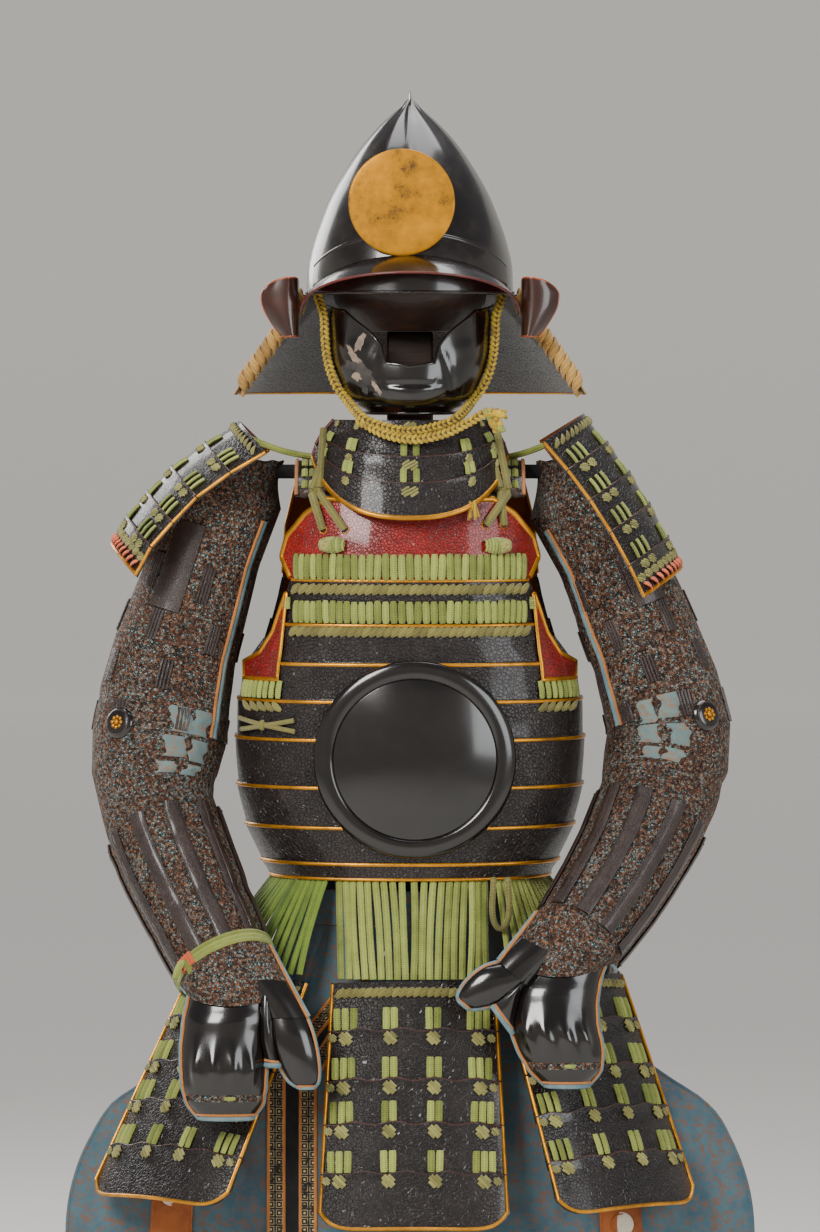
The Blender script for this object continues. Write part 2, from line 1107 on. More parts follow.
@dataclass(frozen=True)
class LacquerFinish:
    """Lacquered metal or leather, with grain, dust and rubbed edges."""

    name: str
    base: tuple
    worn: tuple
    rough: float = 0.3
    grain: float = 0.0
    grain_scale: float = 320.0
    dust: float = 0.12
    coat: float = 0.25

    def make(self) -> Material:
        """Builds the material.

        Returns:
            The material.
        """
        g = Graph(self.name)
        body = g.coords(Look.OBJECT)
        tint = g.attribute("tint")
        patch = g.noise(body, 22.0, 6.0, 0.62)
        fine = g.noise(body, 640.0, 3.0, 0.6)
        cells = g.cells(body, self.grain_scale, "DISTANCE_TO_EDGE")
        veins = cells.ramp(0.0, 0.16)
        tone = g.blend(
            patch.ramp(0.3, 0.75), self.base, tuple(min(1.0, c * 1.35 + 0.012) for c in self.base)
        )
        tone = g.blend((1.0 - veins) * self.grain * 0.85, tone, tuple(c * 0.25 for c in self.base))
        scratch = g.noise(g.coords(Look.OBJECT, (60.0, 60.0, 900.0)), 1.0, 5.0, 0.75).ramp(0.68, 0.74)
        flecks = g.noise(body, 190.0, 6.0, 0.75).ramp(0.66, 0.72)
        worn = (scratch * 0.35 + flecks * 0.75).least(1.0) * (0.3 + patch * 0.7)
        tone = g.blend(worn * 0.7, tone, self.worn)
        haze = g.noise(body, 46.0, 5.0, 0.6).ramp(0.42, 0.8) * self.dust
        tone = g.blend(haze, tone, (0.46, 0.40, 0.34))
        tone = g.blend(tint.ramp(0.5, 1.0) * 0.35, tone, self.worn)
        roughness = self.rough + patch * 0.16 + haze * 0.9 + worn * 0.25
        height = veins * self.grain + fine * 0.12 + patch * 0.3
        normal = g.bump(height, 0.75 if self.grain else 0.18)
        return g.surface(
            Base_Color=tone,
            Roughness=roughness,
            Normal=normal,
            Coat_Weight=self.coat,
            Coat_Roughness=0.10,
        )


@dataclass(frozen=True)
class GiltFinish:
    """Worn gilding over lacquer."""

    name: str
    gold: tuple
    under: tuple
    worn: float = 0.5
    rough: float = 0.36
    metal: float = 0.85

    def make(self) -> Material:
        """Builds the material.

        Returns:
            The material.
        """
        g = Graph(self.name)
        body = g.coords(Look.OBJECT)
        patch = g.noise(body, 30.0, 6.0, 0.65)
        fine = g.noise(body, 420.0, 5.0, 0.7)
        wear = (patch * 0.62 + fine * 0.38).ramp(0.66 - self.worn * 0.16, 0.72 - self.worn * 0.08)
        specks = g.cells(body, 210.0).ramp(0.0, 0.22)
        wear = wear.most((1.0 - specks) * patch.ramp(0.4, 0.62) * self.worn)
        tone = g.blend(patch.ramp(0.3, 0.7), self.gold, tuple(c * 0.72 for c in self.gold))
        tone = g.blend(wear, tone, self.under)
        metal = (1.0 - wear) * self.metal
        roughness = self.rough + wear * 0.3 + fine * 0.14
        normal = g.bump(fine * 0.5 + (1.0 - wear) * 0.6, 0.22)
        return g.surface(Base_Color=tone, Metallic=metal, Roughness=roughness, Normal=normal)


@dataclass(frozen=True)
class ClothFinish:
    """Plain woven cloth, faded, with a small common repeat."""

    name: str
    base: tuple
    faded: tuple
    motif: tuple
    pattern: float = 0.6
    repeat: float = 26.0

    def make(self) -> Material:
        """Builds the material.

        Returns:
            The material.
        """
        g = Graph(self.name)
        body = g.coords(Look.OBJECT)
        x, _, z = g.axes(body)
        warp = g.noise(body, 60.0, 2.0) * 0.0016
        across = (x + warp) * (1000.0 / self.repeat)
        up = (z + warp) * (1000.0 / self.repeat)
        row = up.floor()
        shift = (row * 0.5).fract()
        du = (across + shift).fract() - 0.5
        dv = up.fract() - 0.5
        leaf = (du.abs() * 2.0 + (dv.abs() * 2.2)).ramp(0.62, 0.50)
        hollow = (du.abs() * 2.0 + (dv.abs() * 2.2)).ramp(0.30, 0.20)
        stem = ((du + (dv * 9.0).sin() * 0.10).abs()).ramp(0.075, 0.035)
        mark = (leaf - hollow * 0.8).most(stem * 0.8).least(1.0)
        rubbed = g.noise(body, 34.0, 5.0, 0.7)
        mark = mark * rubbed.ramp(0.34, 0.60) * self.pattern
        fleck = g.noise(g.coords(Look.OBJECT, (1.0, 1.0, 1.7)), 105.0, 5.0, 0.72, 0.4).ramp(0.50, 0.57)
        mark = mark.most(fleck * rubbed.ramp(0.30, 0.52) * 0.85)
        patch = g.noise(body, 17.0, 6.0, 0.66)
        tone = g.blend(patch.ramp(0.32, 0.70), self.base, self.faded)
        tone = g.blend(mark, tone, self.motif)
        stain = g.noise(body, 9.0, 5.0, 0.6).ramp(0.52, 0.74) * 0.55
        tone = g.blend(stain, tone, tuple(c * 0.62 for c in self.motif))
        warp_thread = (x * 5200.0).sin() * 0.5 + 0.5
        weft_thread = (z * 5200.0).sin() * 0.5 + 0.5
        weave = warp_thread * weft_thread
        tone = g.blend(weave * 0.22, tone, tuple(min(1.0, c * 1.5) for c in self.faded))
        folds = g.noise(g.coords(Look.OBJECT, (30.0, 30.0, 9.0)), 1.0, 5.0, 0.62)
        normal = g.bump(folds, 3.2, 0.75)
        normal = g.bump(weave + g.noise(body, 900.0, 2.0) * 0.5, 0.3, 0.8, normal)
        return g.surface(Base_Color=tone, Roughness=0.93, Normal=normal, Sheen_Weight=0.2)


@dataclass(frozen=True)
class MailFinish:
    """Close mail of small dark rings over cloth."""

    name: str
    ring: tuple
    rust: tuple
    cloth: tuple
    size: float = 5.2

    def make(self) -> Material:
        """Builds the material.

        Returns:
            The material.
        """
        g = Graph(self.name)
        body = g.coords(Look.OBJECT)
        u, v, _ = g.axes(g.coords(Look.UV))
        across = u / self.size
        down = v / self.size
        shift = (down.floor() * 0.5).fract()
        du = (across + shift).fract() - 0.5
        dv = down.fract() - 0.5
        far = (du * du + dv * dv).power(0.5)
        wire = 1.0 - ((far - 0.37).abs() * 6.5).least(1.0)
        link = 1.0 - (((across + shift + 0.5).fract() - 0.5).abs() * 5.0).least(1.0)
        link = link * (1.0 - (((down + 0.5).fract() - 0.5).abs() * 3.2).least(1.0))
        metal = wire.most(link * 0.9).ramp(0.10, 0.42)
        patch = g.noise(body, 190.0, 4.0, 0.7)
        broad = g.noise(body, 24.0, 4.0, 0.6)
        iron = g.blend(patch.ramp(0.40, 0.62), self.ring, self.rust)
        glint = g.noise(body, 330.0, 2.0).ramp(0.50, 0.66)
        iron = g.blend(glint * 0.8, iron, (0.74, 0.54, 0.40))
        spots = g.noise(body, 240.0, 3.0, 0.65)
        open_cloth = (spots * 0.78 + broad * 0.22).ramp(0.49, 0.58)
        under = g.blend(open_cloth, tuple(c * 0.22 for c in self.rust), self.cloth)
        tone = g.blend(metal, under, iron)
        normal = g.bump(wire.most(link) + glint * 0.2, 1.1)
        return g.surface(
            Base_Color=tone, Metallic=metal * 0.5, Roughness=0.52 + patch * 0.25, Normal=normal
        )


@dataclass(frozen=True)
class WoodFinish:
    """Plain waxed wood."""

    name: str
    base: tuple
    grain: tuple

    def make(self) -> Material:
        """Builds the material.

        Returns:
            The material.
        """
        g = Graph(self.name)
        body = g.coords(Look.OBJECT, (1.0, 14.0, 14.0))
        rings = (g.noise(body, 9.0, 6.0, 0.6, 0.6) * 18.0).sin() * 0.5 + 0.5
        fine = g.noise(g.coords(Look.OBJECT, (20.0, 500.0, 500.0)), 1.0, 3.0)
        tone = g.blend(rings * 0.6 + fine * 0.3, self.base, self.grain)
        normal = g.bump(rings * 0.4 + fine, 0.25)
        return g.surface(Base_Color=tone, Roughness=0.45 + fine * 0.2, Normal=normal, Coat_Weight=0.1)


@dataclass(frozen=True)
class SkinFinish:
    """Plain strap leather or rubbed soft cloth."""

    name: str
    base: tuple
    rubbed: tuple
    rough: float = 0.7
    weave: float = 0.0

    def make(self) -> Material:
        """Builds the material.

        Returns:
            The material.
        """
        g = Graph(self.name)
        body = g.coords(Look.OBJECT)
        x, y, z = g.axes(body)
        patch = g.noise(body, 42.0, 6.0, 0.65)
        fine = g.noise(body, 800.0, 3.0, 0.65)
        tone = g.blend(patch.ramp(0.34, 0.7), self.base, self.rubbed)
        tone = g.blend(fine.ramp(0.5, 0.75) * 0.3, tone, tuple(c * 0.5 for c in self.base))
        thread = ((x + z) * 3600.0).sin() * ((x - z + y) * 3600.0).sin() * self.weave
        normal = g.bump(fine + thread, 0.4)
        return g.surface(Base_Color=tone, Roughness=self.rough + patch * 0.15, Normal=normal)


@dataclass(frozen=True)
class BrocadeFinish:
    """Dark binding cloth with a small cream key repeat."""

    name: str
    base: tuple
    thread: tuple
    pitch: float = 9.0

    def make(self) -> Material:
        """Builds the material.

        Returns:
            The material.
        """
        g = Graph(self.name)
        body = g.coords(Look.OBJECT)
        u, v, _ = g.axes(g.coords(Look.UV))
        across = (u / self.pitch).fract() - 0.5
        down = (v / self.pitch).fract() - 0.5
        square = across.abs().most(down.abs())
        frame_line = 1.0 - ((square - 0.36).abs() * 14.0).least(1.0)
        core = square.ramp(0.16, 0.10)
        mark = frame_line.most(core) * g.noise(body, 120.0, 4.0).ramp(0.32, 0.55)
        tone = g.blend(mark * 0.85, self.base, self.thread)
        thread = (u * 4.0).sin() * (v * 4.0).sin() * 0.5 + 0.5
        return g.surface(Base_Color=tone, Roughness=0.85, Normal=g.bump(mark * 0.6 + thread * 0.4, 0.35))


class Palette:
    """All finishes of the armour."""

    def __init__(self) -> None:
        self.lacing = CordFinish("lacing cord", (0.66, 0.70, 0.33), (0.42, 0.46, 0.15), worn=0.3).make()
        self.green = CordFinish(
            "shaded lacing cord", (0.48, 0.58, 0.18), (0.28, 0.38, 0.09), worn=0.15
        ).make()
        self.knots = CordFinish("olive knots", (0.68, 0.66, 0.37), (0.44, 0.42, 0.19), braid=3.0).make()
        self.rope = CordFinish(
            "olive cord", (0.56, 0.53, 0.26), (0.36, 0.33, 0.14), braid=3.6, worn=0.2
        ).make()
        self.chin = CordFinish(
            "helmet cord", (0.86, 0.72, 0.09), (0.56, 0.42, 0.04), braid=3.0, worn=0.12
        ).make()
        self.core = CordFinish(
            "helmet cord core", (0.36, 0.28, 0.04), (0.20, 0.15, 0.02), braid=3.0, worn=0.1
        ).make()
        self.orange_cord = CordFinish(
            "orange cord", (0.93, 0.44, 0.22), (0.72, 0.28, 0.12), braid=3.0, worn=0.1
        ).make()
        self.twist = CordFinish(
            "edge twist", (0.80, 0.62, 0.30), (0.52, 0.36, 0.13), braid=3.0, worn=0.25
        ).make()
        self.piping = CordFinish(
            "orange piping", (0.90, 0.58, 0.26), (0.66, 0.36, 0.12), braid=2.4, worn=0.3
        ).make()
        self.blue_piping = SkinFinish(
            "blue binding", (0.38, 0.50, 0.54), (0.52, 0.60, 0.60), rough=0.85, weave=0.3
        ).make()
        self.black = LacquerFinish(
            "black lacquer", (0.040, 0.022, 0.017), (0.34, 0.24, 0.16), rough=0.12, grain=0.0,
            grain_scale=320.0, dust=0.02, coat=0.6,
        ).make()
        self.helmet = LacquerFinish(
            "helmet lacquer", (0.050, 0.028, 0.022), (0.32, 0.20, 0.13), rough=0.15, grain=0.0,
            grain_scale=320.0, dust=0.07, coat=0.55,
        ).make()
        self.grain = LacquerFinish(
            "grained plate", (0.100, 0.070, 0.070), (0.44, 0.33, 0.28), rough=0.30, grain=1.0,
            grain_scale=250.0, dust=0.08,
        ).make()
        self.brown = LacquerFinish(
            "brown lacquer", (0.068, 0.036, 0.031), (0.36, 0.19, 0.13), rough=0.22, grain=0.7,
            grain_scale=260.0, dust=0.05, coat=0.45,
        ).make()
        self.red = LacquerFinish(
            "red grained plate", (0.50, 0.050, 0.028), (0.28, 0.05, 0.035), rough=0.30, grain=0.8,
            grain_scale=300.0, dust=0.05, coat=0.4,
        ).make()
        self.red_edge = LacquerFinish(
            "red-brown lacquer", (0.30, 0.075, 0.05), (0.28, 0.09, 0.06), rough=0.4, grain=0.1,
            grain_scale=300.0, dust=0.08,
        ).make()
        self.lame_edge = LacquerFinish(
            "lame edge", (0.17, 0.075, 0.055), (0.30, 0.12, 0.08), rough=0.3, grain=0.1,
            grain_scale=300.0, dust=0.04,
        ).make()
        self.ear = LacquerFinish(
            "ear lacquer", (0.17, 0.070, 0.035), (0.66, 0.30, 0.09), rough=0.22, grain=0.0,
            grain_scale=300.0, dust=0.03, coat=0.5,
        ).make()
        self.amber = LacquerFinish(
            "amber lacquer", (0.52, 0.22, 0.07), (0.30, 0.12, 0.05), rough=0.3, grain=0.1,
            grain_scale=300.0, dust=0.04,
        ).make()
        self.gilt = GiltFinish(
            "gilt edge", (0.90, 0.61, 0.15), (0.30, 0.14, 0.05), worn=0.35, rough=0.28, metal=0.75
        ).make()
        self.disc = GiltFinish(
            "gilt disc", (0.84, 0.565, 0.03), (0.12, 0.07, 0.035), worn=0.72, rough=0.42, metal=0.62
        ).make()
        self.cloth = ClothFinish(
            "blue cloth", (0.19, 0.31, 0.37), (0.29, 0.41, 0.45), (0.45, 0.30, 0.21), pattern=0.42,
            repeat=21.0,
        ).make()
        self.mail = MailFinish("mail", (0.11, 0.075, 0.060), (0.46, 0.285, 0.20), (0.40, 0.55, 0.56)).make()
        self.iron = LacquerFinish(
            "dark iron", (0.15, 0.105, 0.095), (0.38, 0.25, 0.19), rough=0.30, grain=0.3,
            grain_scale=420.0, dust=0.14,
        ).make()
        self.lining = ClothFinish(
            "pale patch cloth", (0.35, 0.44, 0.45), (0.43, 0.51, 0.50), (0.52, 0.38, 0.27), pattern=0.5,
            repeat=14.0,
        ).make()
        self.leather = SkinFinish(
            "strap leather", (0.62, 0.33, 0.10), (0.50, 0.24, 0.07), rough=0.62
        ).make()
        self.bone = SkinFinish("white disc", (0.84, 0.80, 0.72), (0.70, 0.64, 0.54), rough=0.5).make()
        self.horn = SkinFinish("dark horn", (0.16, 0.10, 0.06), (0.30, 0.20, 0.12), rough=0.28).make()
        self.dark_cloth = SkinFinish(
            "stand cloth", (0.10, 0.10, 0.11), (0.16, 0.15, 0.15), rough=0.95, weave=0.6
        ).make()
        self.grey_cloth = SkinFinish(
            "grey cloth", (0.62, 0.58, 0.52), (0.50, 0.46, 0.42), rough=0.95, weave=0.6
        ).make()
        self.wood = WoodFinish("stand wood", (0.22, 0.13, 0.075), (0.12, 0.065, 0.04)).make()
        self.brocade = BrocadeFinish("dark brocade", (0.06, 0.055, 0.06), (0.80, 0.72, 0.54)).make()
        self.primer = SkinFinish("grey primer", (0.20, 0.19, 0.19), (0.32, 0.29, 0.27), rough=0.8).make()
        self.peeled = SkinFinish("peeled ground", (0.66, 0.58, 0.48), (0.46, 0.40, 0.36), rough=0.85).make()


# Trim that many pieces share


def normal_at(place: Place, a: float, b: float, out: float) -> Vector:
    """Outward direction of a surface.

    Args:
        place: the surface.
        a: first value.
        b: second value.
        out: outward move.

    Returns:
        The direction.
    """
    return (place(a, b, out + 1.0) - place(a, b, out)).normalized()


def route(place: Place, start: tuple, end: tuple, steps: int, out: float, lift: float = 0.0) -> tuple:
    """Line on a surface, arched between its ends.

    Args:
        place: the surface.
        start: first two values.
        end: last two values.
        steps: spans.
        out: outward move.
        lift: height of the arch.

    Returns:
        Points and outward directions.
    """
    points = []
    normals = []
    for i in range(steps + 1):
        t = i / steps
        a = mix(start[0], end[0], t)
        b = mix(start[1], end[1], t)
        points.append(place(a, b, out + lift * math.sin(math.pi * t)))
        normals.append(normal_at(place, a, b, out))
    return points, normals


def along(place: Place, stations: Sequence[tuple], out: float) -> tuple:
    """Line on a surface through stations.

    Args:
        place: the surface.
        stations: pairs of values.
        out: outward move.

    Returns:
        Points and outward directions.
    """
    return [place(a, b, out) for a, b in stations], [normal_at(place, a, b, out) for a, b in stations]


class Trim:
    """Cords, knots and edges sewn on a surface.

    Of a surface's two values the first runs across and the second down or up, in millimetres.
    """

    def __init__(self, maker: Maker, palette: Palette, rng: random.Random) -> None:
        self.maker = maker
        self.palette = palette
        self.rng = rng

    def shade(self, middle: float = 0.5, spread: float = 0.35) -> float:
        """Tint of one strand."""
        return clamp(self.rng.gauss(middle, spread), 0.0, 1.0)

    def cord(
        self,
        place: Place,
        start: tuple,
        end: tuple,
        out: float,
        wide: float,
        thick: float,
        lift: float = 0.8,
        material: Optional[Material] = None,
        steps: int = 5,
    ) -> None:
        """One short laced cord.

        Args:
            place: the surface.
            start: where it starts.
            end: where it ends.
            out: outward move.
            wide: width.
            thick: thickness.
            lift: arch.
            material: finish.
            steps: spans.
        """
        points, normals = route(place, start, end, steps, out, lift)
        self.maker.strand(
            points, normals, wide, thick, material or self.palette.lacing, self.shade(), taper=0.12
        )

    def cross(
        self, place: Place, a: float, b: float, out: float, size: float, wide: float,
        material: Optional[Material] = None,
    ) -> None:
        """Cross knot of two cords.

        Args:
            place: the surface.
            a: middle across.
            b: middle down.
            out: outward move.
            size: width over the cross.
            wide: width of a cord.
            material: finish.
        """
        finish = material or self.palette.knots
        diagonal = math.sqrt(0.5)
        pitch = size * 0.25
        for k in (-1.5, -0.5, 0.5, 1.5):
            slip = k * pitch * diagonal
            reach = (size * diagonal - abs(k) * pitch) * diagonal
            ends = [(a - slip + sign * reach, b + slip + sign * reach) for sign in (-1, 1)]
            points, normals = route(place, ends[0], ends[1], 5, out, 0.7)
            self.maker.strand(
                points, normals, pitch * 1.12, wide * 0.62, finish, self.shade(0.5, 0.25), taper=0.15
            )

    def edge(
        self,
        place: Place,
        stations: Sequence[tuple],
        out: float,
        wide: float,
        thick: float,
        material: Material,
        closed: bool = False,
        turns: float = 0.1,
    ) -> None:
        """Piping or rim along stations."""
        points, normals = along(place, stations, out)
        self.maker.strand(
            points, normals, wide, thick, material, self.shade(), closed=closed, taper=0.01, turns=turns
        )

    def braid(
        self,
        place: Place,
        start: tuple,
        end: tuple,
        height: float,
        out: float,
        pitch: float,
        lean: float = 0.55,
        material: Optional[Material] = None,
    ) -> None:
        """Row of slanted cords between two points of a surface.

        Args:
            place: the surface.
            start: left end, at the row's middle.
            end: right end, at the row's middle.
            height: of the row.
            out: outward move.
            pitch: distance between cords.
            lean: shift of the top against the bottom, in heights.
            material: finish.
        """
        count = max(2, int(abs(end[0] - start[0]) / pitch))
        for i in range(count):
            t = (i + 0.5) / count
            a = mix(start[0], end[0], t)
            b = mix(start[1], end[1], t)
            shift = height * lean / 2
            points, normals = route(
                place, (a - shift, b - height * 0.42), (a + shift, b + height * 0.42), 7, out, 1.6
            )
            self.maker.strand(
                points, normals, pitch * 1.18, 3.6, material or self.palette.rope,
                self.shade(0.55, 0.25), taper=0.45,
            )


@dataclass(frozen=True)
class Body:
    """Laced body armour: front, back, top plates, side panels, lacing rows and the front roundel."""

    ledge: float = 2.0
    wall: float = 3.0
    low: float = 712.0
    high: float = 1033.0
    chest_top: float = 1121.0
    back_top: float = 1140.0
    columns: int = 72
    roundel_x: float = 5.0
    roundel_z: float = 843.0
    roundel_radius: float = 106.0
    roundel_ring: float = 20.0

    def limit(self, z: float, front: bool) -> float:
        """Half angle of a shell at a height."""
        if z <= 945:
            return math.radians(90) - 0.0016
        edges = FRONT_EDGE if front else BACK_EDGE
        return min(math.radians(90) - 0.0016, body_angle(z, straight(edges, z)))

    def rows(self) -> list:
        """Heights and outward steps of a shell."""
        lines = [line for line in BODY_LINES if line < self.high]
        rows = [(self.high, 1.9), (self.high - 6, 2.0)]
        top = self.high
        for line in lines:
            span = top - line
            rows.append((line + span * 0.55, 1.3))
            rows.append((line + 2.4, 0.5))
            rows.append((line + 1.2, 0.6))
            rows.append((line - 0.4, self.ledge + 0.5))
            rows.append((line - 6, self.ledge + 0.2))
            top = line
        rows.append((self.low + 8, 1.2))
        rows.append((self.low + 1.5, 1.6))
        rows.append((self.low, 0.8))
        return rows

    def shell(self, front: bool, palette: Palette) -> None:
        """Front or back of the laced body."""
        side = "front" if front else "back"
        maker = Maker(f"body {side}")
        rows = self.rows()
        last = len(rows) - 1
        base = 0.0 if front else math.pi

        def outer(u: float, v: float) -> Vector:
            z, out = rows[round((1 - v) * last)]
            angle = base + mix(-1, 1, u) * self.limit(z, front)
            wave = 0.25 * math.sin(angle * 46 + z * 0.2)
            return body_point(z, angle, out + wave * 0.3)

        def inner(u: float, v: float) -> Vector:
            z, _ = rows[round((1 - v) * last)]
            return body_point(z, base + mix(-1, 1, u) * self.limit(z, front), -self.wall)

        maker.shell(self.columns, last, outer, inner, palette.grain, palette.leather)
        trim = Trim(maker, palette, random.Random(SEED + front))
        for line in BODY_LINES:
            limit = self.limit(line, front) - 0.012
            if line > 1030:
                continue
            stations = [(base + mix(-limit, limit, i / 96), line - 1.0) for i in range(97)]
            for run in self.clear_runs(stations, front):
                trim.edge(body_place, run, self.ledge + 0.6, 3.8, 2.2, palette.gilt)
        stations = [(base + mix(-1.55, 1.55, i / 96), self.low + 1.8) for i in range(97)]
        trim.edge(body_place, stations, 1.6, 3.6, 3.0, palette.gilt)
        maker.finish([f"cuirass_{side}"], "black_lacquer")

    def clear_runs(self, stations: Sequence[tuple], front: bool) -> list:
        """Parts of a line that pass clear of the roundel."""
        runs: list = [[]]
        for angle, z in stations:
            x = body_point(z, angle, 0).x
            if front and math.hypot(x - self.roundel_x, z - self.roundel_z) < self.roundel_radius - 3:
                if runs[-1]:
                    runs.append([])
                continue
            runs[-1].append((angle, z))
        return [run for run in runs if len(run) > 2]

    def braids(self, palette: Palette) -> None:
        """Slanted rows under the gold lines, with small end tufts."""
        maker = Maker("braid rows")
        trim = Trim(maker, palette, random.Random(SEED + 3))
        trim.braid(front_point, (-124, 1024.5), (124, 1024.5), 11, 2.4, 7.6, 0.9)
        trim.braid(front_point, (-126, 979.5), (126, 979.5), 11, 2.6, 7.6, 0.9)
        for side in (-1, 1):
            trim.braid(front_point, (side * 137, 898), (side * 177, 898), 10, 2.6, 7.0, 0.9 * side)
            for i in range(5):
                place = (side * 126, 1014 - i * 2.4)
                trim.cord(front_point, place, (place[0] + side * 7, place[1] - 1), 3.2, 3.2, 3.0, 1.2)
        maker.finish()

    def ties(self, palette: Palette) -> None:
        """Hanging loop at the lower edge and a small cord tie at one side."""
        maker = Maker("body ties")
        loop = []
        for k in range(29):
            turn = math.pi * k / 28
            side = 13.5 * math.cos(turn) * (0.55 + 0.45 * math.sin(turn))
            loop.append(Vector((97 - side, -119, 716 - 54 * math.sin(turn) ** 0.75)))
        loop[0].y = loop[-1].y = -113
        maker.strand(loop, [Vector((0, -1, 0))] * 29, 6.6, 6.0, palette.rope, 0.4, sides=10, taper=0.02)
        for ends in (((-178, 872), (-122, 884)), ((-180, 884), (-121, 872)), ((-162, 877), (-145, 879))):
            points, normals = route(front_point, ends[0], ends[1], 12, 4.2, 3.0)
            maker.strand(points, normals, 5.2, 4.4, palette.rope, 0.7, taper=0.05)
        centre = front_point(-153, 878, 8)
        maker.bead(
            centre, normal_at(front_point, -153, 878, 4), Vector((0, 0, 1)), (12, 9, 7), palette.rope,
            0.6, 12,
        )
        maker.finish()

    def lacing(self, palette: Palette) -> None:
        """Close rows of upright cords on the chest and the front."""
        for name, node, top, bottom, out in (
            ("chest lacing cords", "chest_lacing", 1062.0, 1035.0, 1.6),
            ("front lacing cords", "front_lacing", 1012.0, 989.0, 2.2),
        ):
            maker = Maker(name)
            trim = Trim(maker, palette, random.Random(SEED + int(top)))
            count = 33
            for i in range(count):
                x = 155 * math.sin(mix(-0.885, 0.885, i / (count - 1)))
                wander = trim.rng.uniform(-0.6, 0.6)
                points, normals = route(
                    front_point, (x + wander, top + trim.rng.uniform(-0.8, 0.8)),
                    (x - wander, bottom - 0.6), 6, out + 0.6, 0.9,
                )
                maker.strand(points, normals, 8.1, 5.2, palette.lacing, trim.shade(), taper=0.24)
            maker.finish([node], "lacing")

    def plate(self, front: bool, palette: Palette) -> None:
        """Red top plate with a gilt rim."""
        side = "chest" if front else "back"
        top = self.chest_top if front else self.back_top
        edges = FRONT_EDGE if front else BACK_EDGE
        base = 0.0 if front else math.pi
        low = self.high + 0.3
        maker = Maker(f"{side} plate look")

        def at(u: float, v: float, out: float) -> Vector:
            z = mix(low, top, v)
            limit = body_angle(z, straight(edges, z))
            return body_point(z, base + mix(-limit, limit, u), out)

        maker.leaf(60, 26, at, 1.2, -self.wall, palette.red, palette.leather)
        trim = Trim(maker, palette, random.Random(SEED + 7))
        border = [(0.006, v / 30) for v in range(1, 31)]
        border += [(u / 50, 0.992) for u in range(1, 50)]
        border += [(0.994, v / 30) for v in range(30, 0, -1)]
        trim.edge(at, border, 1.4, 6.4, 4.6, palette.gilt)
        trim.edge(at, [(mix(0.01, 0.99, i / 60), 0.004) for i in range(61)], 1.5, 3.6, 2.6, palette.gilt)
        if front:
            self.holes(trim, palette)
        maker.finish([f"{side}_plate"], "red_lacquer")

    def holes(self, trim: Trim, palette: Palette) -> None:
        """Metal rings of the cord holes, with their small bosses of cord."""
        for x, z in ((-92, 1088), (-69, 1088), (80, 1093), (99, 1093)):
            centre = front_point(x, z, 1.6)
            normal = normal_at(front_point, x, z, 1.6)
            trim.maker.ring(centre, normal, 4.2, 1.6, palette.gilt, 20)
            trim.maker.bead(centre, normal, Vector((1, 0, 0)), (6.6, 6.6, 1.2), palette.horn)
        for x, z, wide in ((-81, 1072, 31), (91, 1071, 32)):
            normal = normal_at(front_point, x, z, 2)
            centre = front_point(x, z, 4.2)
            trim.maker.bead(centre, normal, Vector((1, 0, 0)), (wide, 18, 13), palette.knots, 0.6, 18)
            for i in range(9):
                shift = mix(-wide * 0.36, wide * 0.36, i / 8)
                rise = 8.2 * math.sqrt(max(0.0, 1 - (shift / (wide * 0.5)) ** 2))
                points = []
                normals = []
                for k in range(7):
                    turn = mix(-1.35, 1.35, k / 6)
                    lift = 4.0 + 6.6 * math.cos(turn) * rise / 8.2
                    points.append(front_point(x + shift, z + rise * math.sin(turn), lift))
                    normals.append(normal)
                trim.maker.strand(points, normals, 3.6, 2.2, palette.lacing, trim.shade(), taper=0.1)

    def panels(self, palette: Palette) -> None:
        """Red side panels with a gilt rim, and the lacing under them."""
        for side, name in ((-1, "left"), (1, "right")):
            maker = Maker(f"side panel {name} look")

            def at(u: float, v: float, out: float, side: int = side) -> Vector:
                z = mix(926, 1020, v)
                near = body_angle(z, mix(139, 129, (z - 926) / 94))
                far_half = straight(FRONT_EDGE, z) if z >= 947 else 176
                far = body_angle(z, far_half) - 0.02
                return body_point(z, side * mix(near, far, u), out)

            maker.leaf(16, 24, at, 4.1, 2.6, palette.red)
            trim = Trim(maker, palette, random.Random(SEED + side))
            border = [(u / 14, 0.012) for u in range(14, -1, -1)]
            border += [(0.02, v / 26) for v in range(1, 26)]
            border += [(u / 14, 0.988) for u in range(15)]
            border += [(0.97, v / 26) for v in range(25, 0, -1)]
            trim.edge(at, border, 4.2, 4.8, 3.6, palette.gilt, closed=True)
            near, far = body_angle(916, 135), body_angle(916, 177)
            for i in range(8):
                angle = side * mix(near, far, (i + 0.5) / 8)
                points, normals = route(body_place, (angle, 926), (angle, 907), 5, 3.2, 0.8)
                maker.strand(points, normals, 7.6, 4.4, palette.lacing, trim.shade(), taper=0.2)
            maker.finish([f"side_panel_{name}"], "red_lacquer")

    def roundel(self, palette: Palette) -> None:
        """Plain ring and plain disc on the front."""
        maker = Maker("front roundel look")
        radius, ring = self.roundel_radius, self.roundel_ring
        profile = [(0.0, 5.4), (radius - ring - 1, 5.6)]
        for i in range(13):
            turn = math.pi * i / 12
            profile.append(
                (radius - ring / 2 - ring / 2 * math.cos(turn), 5.2 + 5.2 * math.sin(turn) ** 0.8)
            )
        profile.append((radius, 3.5))
        last = len(profile) - 1

        def place(u: float, v: float) -> Vector:
            r, out = profile[round(v * last)]
            turn = 2 * math.pi * u
            px = self.roundel_x + r * math.sin(turn)
            pz = self.roundel_z + r * math.cos(turn)
            return body_point(pz, body_angle(pz, px), out)

